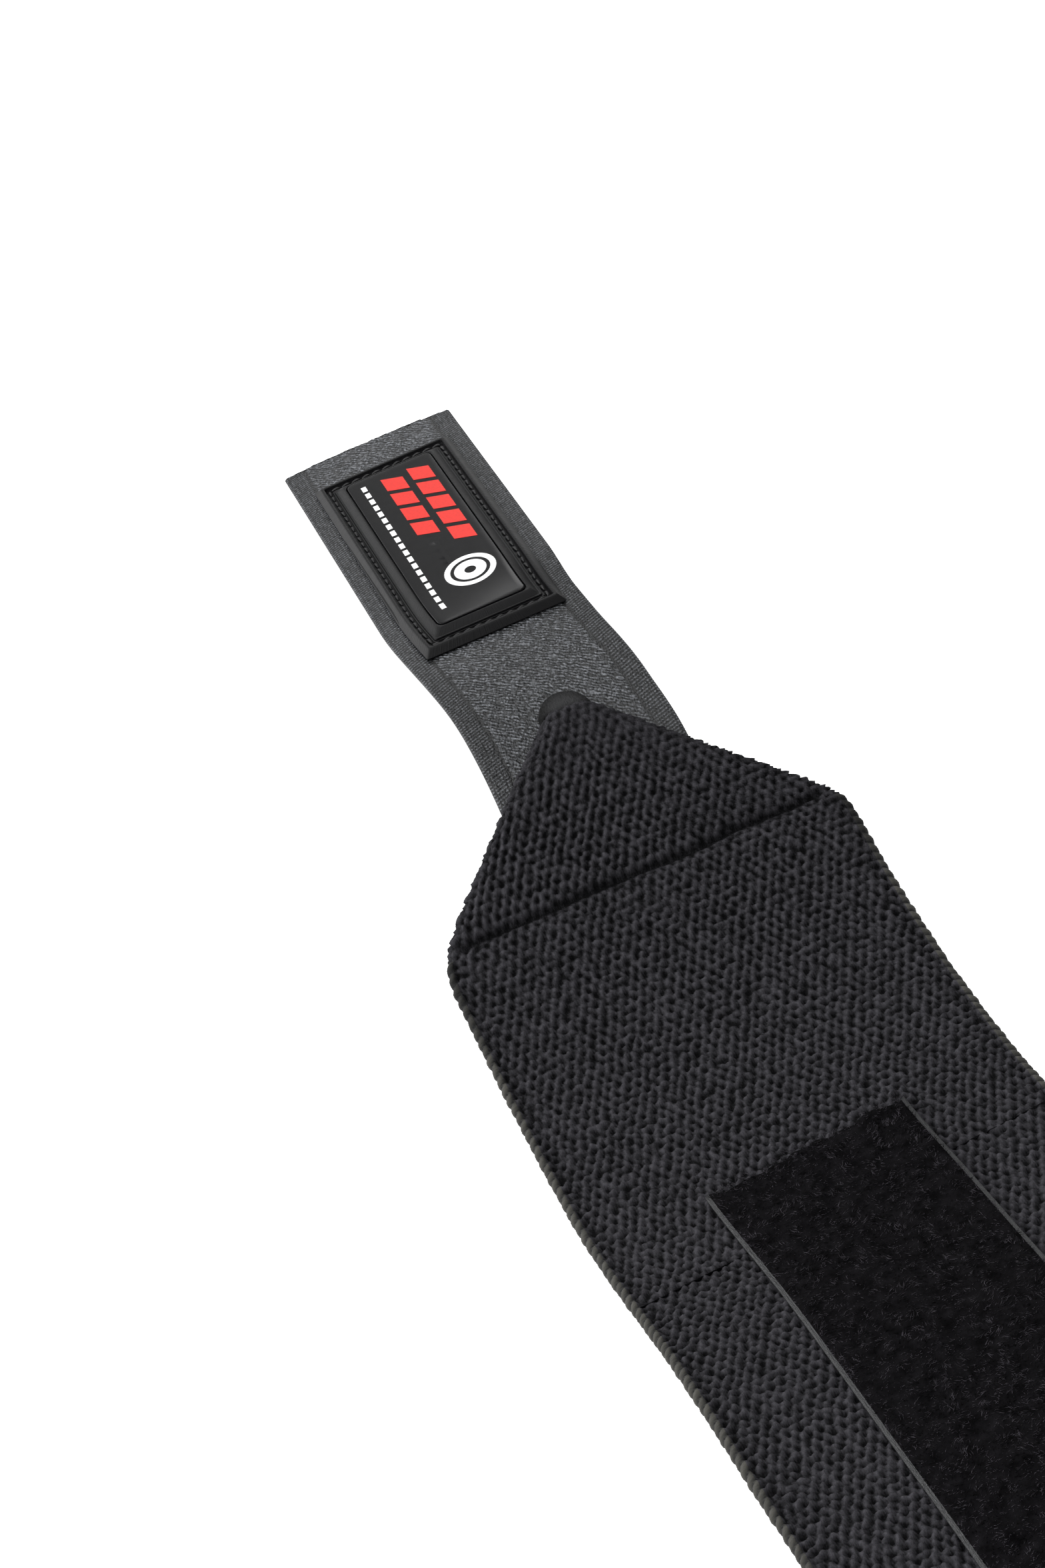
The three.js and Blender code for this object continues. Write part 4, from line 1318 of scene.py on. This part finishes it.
class WRAP_OT_loop(bpy.types.Operator):
    """Sews the thumb loop on the far end."""

    bl_idname = "wrap.loop"
    bl_label = "Sew the thumb loop"
    bl_options = {"REGISTER", "UNDO"}

    def execute(self, context):
        lay, p, end = Lay(), strip(), wrap_end()
        thick, half, root = p.strap_thickness, p.strap / 2, p.loop_root
        sewn, floor = CLEARANCE + thick, thick / 2 - elastic().thickness
        turns = np.linspace(0, 2 * math.pi, 161)
        rise = bisected(0.0, p.loop_height, lambda r: sewn + drop_point(turns, r)[:, 1].min() > floor)
        path = drop_point(turns, rise) + [end, sewn]
        leg = np.linspace(end - root, end - 0.5, 20)
        lower = np.stack([leg, np.full(20, CLEARANCE + thick / 2)], -1)
        upper = np.stack([leg[::-1], np.full(20, CLEARANCE + thick * 1.5)], -1)
        path = resampled(np.concatenate([lower, path[path[:, 0] - end > LOOP_OPENS], upper]), LOOP_STEP)
        ahead = np.gradient(path, axis=0)
        ahead /= np.linalg.norm(ahead, axis=1)[:, None]
        across, run = np.linspace(-half, half, 25), np.arange(len(path)) * LOOP_STEP
        ribs = np.cos(2 * math.pi * run / RIB_SPACING)[:, None] * np.cos(4 * math.pi * across / half)
        round_edge = thick / 2 * np.sqrt(np.clip(1 - (np.abs(across) / half) ** 8, 0.05, 1))
        sides = []
        for side in (1, -1):
            off = side * (round_edge * 0.96 + RIB_HEIGHT * ribs)
            x, h = path[:, :1] + ahead[:, 1:] * off, path[:, 1:] - ahead[:, :1] * off
            sides.append(np.stack([x, across + 0 * x, h], -1)[:, ::side])
        points = np.concatenate(sides, 1)
        rows, columns = points.shape[:2]
        flat = points.reshape(-1, 3)
        faces = [quads(rows, columns, closed=True)[:, ::-1], end_caps(rows, columns)[:, ::-1]]
        cloth = np.stack([np.repeat(run, columns), flat[:, 1]], -1)
        made = piece("strap_loop", lay.bend(flat), faces, woven_strap(), cloth)
        dress(made, "strap_elastic", "thumb_loop")
        round(p.strap * MM, 6)
        box = [(2 - root, 1.6 - half), (-1.5, 1.6 - half), (-1.5, half - 1.6), (2 - root, half - 1.6)]
        box = bent_outline([(end + x, y) for x, y in box], 0.4)
        made = stitches("loop_stitches", lay, box, CLEARANCE + 2 * thick, 2.4, closed=True)
        dress(made, "strap_elastic")
        return {"FINISHED"}


# The photograph's camera, found from the wrap's outline: its place in the lay's own frame in
# millimetres, its turn round Z, its height angle and its roll in degrees, and its focal length as
# pixels of a 1568 by 2352 frame.
CAMERA_PLACE = (564.324, -79.224, 423.276)
CAMERA_TURN, CAMERA_RISE, CAMERA_ROLL = -8.576, 43.354, -20.439
FOCAL_PIXELS, LONG_SIDE_PIXELS, SENSOR_MM = 5019.0, 2352, 36.0

WINDOW_SIDE = (-0.45, -0.88, 0.15)  # the direction of the large window
WALL_LIGHT = (0.15, 1.15)  # strength of the walls across from the window and on its side
FLOOR_REACH = 6.0  # in metres
# Soft lamps: their names, places and sizes in metres, and power in watts
LAMPS = (
    ("left", (-0.3, -1.2, 0.9), 0.9, 14),
    ("window", (-1.05, -1.05, 0.22), 0.7, 9),
    ("overhead", (0.1, 0.1, 1.4), 1.2, 9),
    ("back", (-1.15, 0.5, 0.62), 0.35, 2.5),
)


def studio_walls():
    """White walls, brightest on the side of the large window and dim behind the camera."""
    world = bpy.data.worlds.new("studio")
    world.use_nodes = True
    background = world.node_tree.nodes["Background"]
    background.inputs[0].default_value = (1, 1, 1, 1)
    facing = add(world, "ShaderNodeTexCoord")
    toward = add(world, "ShaderNodeVectorMath", {0: facing.outputs["Generated"], 1: WINDOW_SIDE},
                 operation="DOT_PRODUCT")
    strength = add(world, "ShaderNodeMapRange", {0: toward.outputs["Value"], 1: -1.0, 2: 1.0,
                                                 3: WALL_LIGHT[0], 4: WALL_LIGHT[1]})
    link(world, strength.outputs[0], background, 1)
    return world


class WRAP_OT_stage(bpy.types.Operator):
    """Sets the floor, the soft light and the photograph's camera."""

    bl_idname = "wrap.stage"
    bl_label = "Set the stage"
    bl_options = {"REGISTER", "UNDO"}

    def execute(self, context):
        scene = context.scene
        # Painted light: the floor glows by itself, with no lamp behind it, which lifts the shadows on it
        # to white.
        material, shader = surface("glowing_floor", Roughness=0.9, Specular_IOR_Level=0.1,
                                   Emission_Color=(1, 1, 1, 1), Emission_Strength=0.35)
        cloud = add(material, "ShaderNodeTexNoise", {"Scale": 3.0})
        tints = (shaded(colours().floor, 0.98), colours().floor)
        finish(material, shader, cloud.outputs[0], (0.2, 0.8), tints)
        corners = np.array([(-1, -1, 0), (1, -1, 0), (1, 1, 0), (-1, 1, 0)]) * FLOOR_REACH
        piece("floor", corners, np.array([[0, 1, 2, 3]]), material, smooth_faces=False)
        scene.world = studio_walls()
        for name, place, size, power in LAMPS:
            light = bpy.data.lights.new(name, "AREA")
            light.energy, light.size = power, size
            lamp = bpy.data.objects.new(name, light)
            lamp.location = place
            lamp.rotation_mode = "QUATERNION"
            lamp.rotation_quaternion = (-Vector(place)).to_track_quat("-Z", "Y")
            scene.collection.objects.link(lamp)
        turn, rise, roll = (math.radians(a) for a in (CAMERA_TURN, CAMERA_RISE, CAMERA_ROLL))
        back = Vector((math.cos(rise) * math.cos(turn), math.cos(rise) * math.sin(turn), math.sin(rise)))
        level = Vector((0, 0, 1)).cross(back).normalized()
        upright = back.cross(level)
        right = level * math.cos(roll) + upright * math.sin(roll)
        up = upright * math.cos(roll) - level * math.sin(roll)
        camera = bpy.data.objects.new("camera", bpy.data.cameras.new("camera"))
        camera.data.sensor_width = SENSOR_MM
        camera.data.lens = FOCAL_PIXELS / LONG_SIDE_PIXELS * SENSOR_MM
        camera.data.clip_start, camera.data.clip_end = 0.01, 50
        matrix = Matrix((right, up, back)).transposed().to_4x4()
        matrix.translation = (Vector(CAMERA_PLACE) + Vector(Lay().offset)) * MM
        camera.matrix_world = matrix
        scene.collection.objects.link(camera)
        scene.camera = camera
        scene.view_settings.view_transform = "Standard"
        return {"FINISHED"}


OPERATORS = (WRAP_OT_stage, WRAP_OT_elastic, WRAP_OT_tip, WRAP_OT_tab, WRAP_OT_badge, WRAP_OT_panel,
             WRAP_OT_strip, WRAP_OT_loop)


class WRAP_PT_panel(bpy.types.Panel):
    """Lists the pieces of the wrap."""

    bl_idname = "WRAP_PT_panel"
    bl_label = "Wrist wrap"
    bl_space_type = "VIEW_3D"
    bl_region_type = "UI"
    bl_category = "Wrap"

    def draw(self, context):
        for operator in OPERATORS:
            self.layout.operator(operator.bl_idname)
        for name in SETTINGS:
            settings = getattr(context.scene, name)
            box = self.layout.box()
            for key in settings.__annotations__:
                box.prop(settings, key)


SETTINGS = {
    "wrap_elastic": ElasticSizes,
    "wrap_tab": TabSizes,
    "wrap_badge": BadgeSizes,
    "wrap_strip": StripSizes,
    "wrap_colours": WrapColours,
}


def register():
    for group in SETTINGS.values():
        bpy.utils.register_class(group)
    for name, group in SETTINGS.items():
        setattr(bpy.types.Scene, name, bpy.props.PointerProperty(type=group))
    for operator in OPERATORS:
        bpy.utils.register_class(operator)
    bpy.utils.register_class(WRAP_PT_panel)


def unregister():
    bpy.utils.unregister_class(WRAP_PT_panel)
    for operator in reversed(OPERATORS):
        bpy.utils.unregister_class(operator)
    for name, group in SETTINGS.items():
        delattr(bpy.types.Scene, name)
        bpy.utils.unregister_class(group)


def main():
    register()
    bpy.ops.wrap.stage()
    bpy.ops.wrap.elastic()
    bpy.ops.wrap.tip()
    bpy.ops.wrap.tab()
    bpy.ops.wrap.badge()
    bpy.ops.wrap.panel()
    bpy.ops.wrap.strip()
    bpy.ops.wrap.loop()


if __name__ == "__main__":
    main()
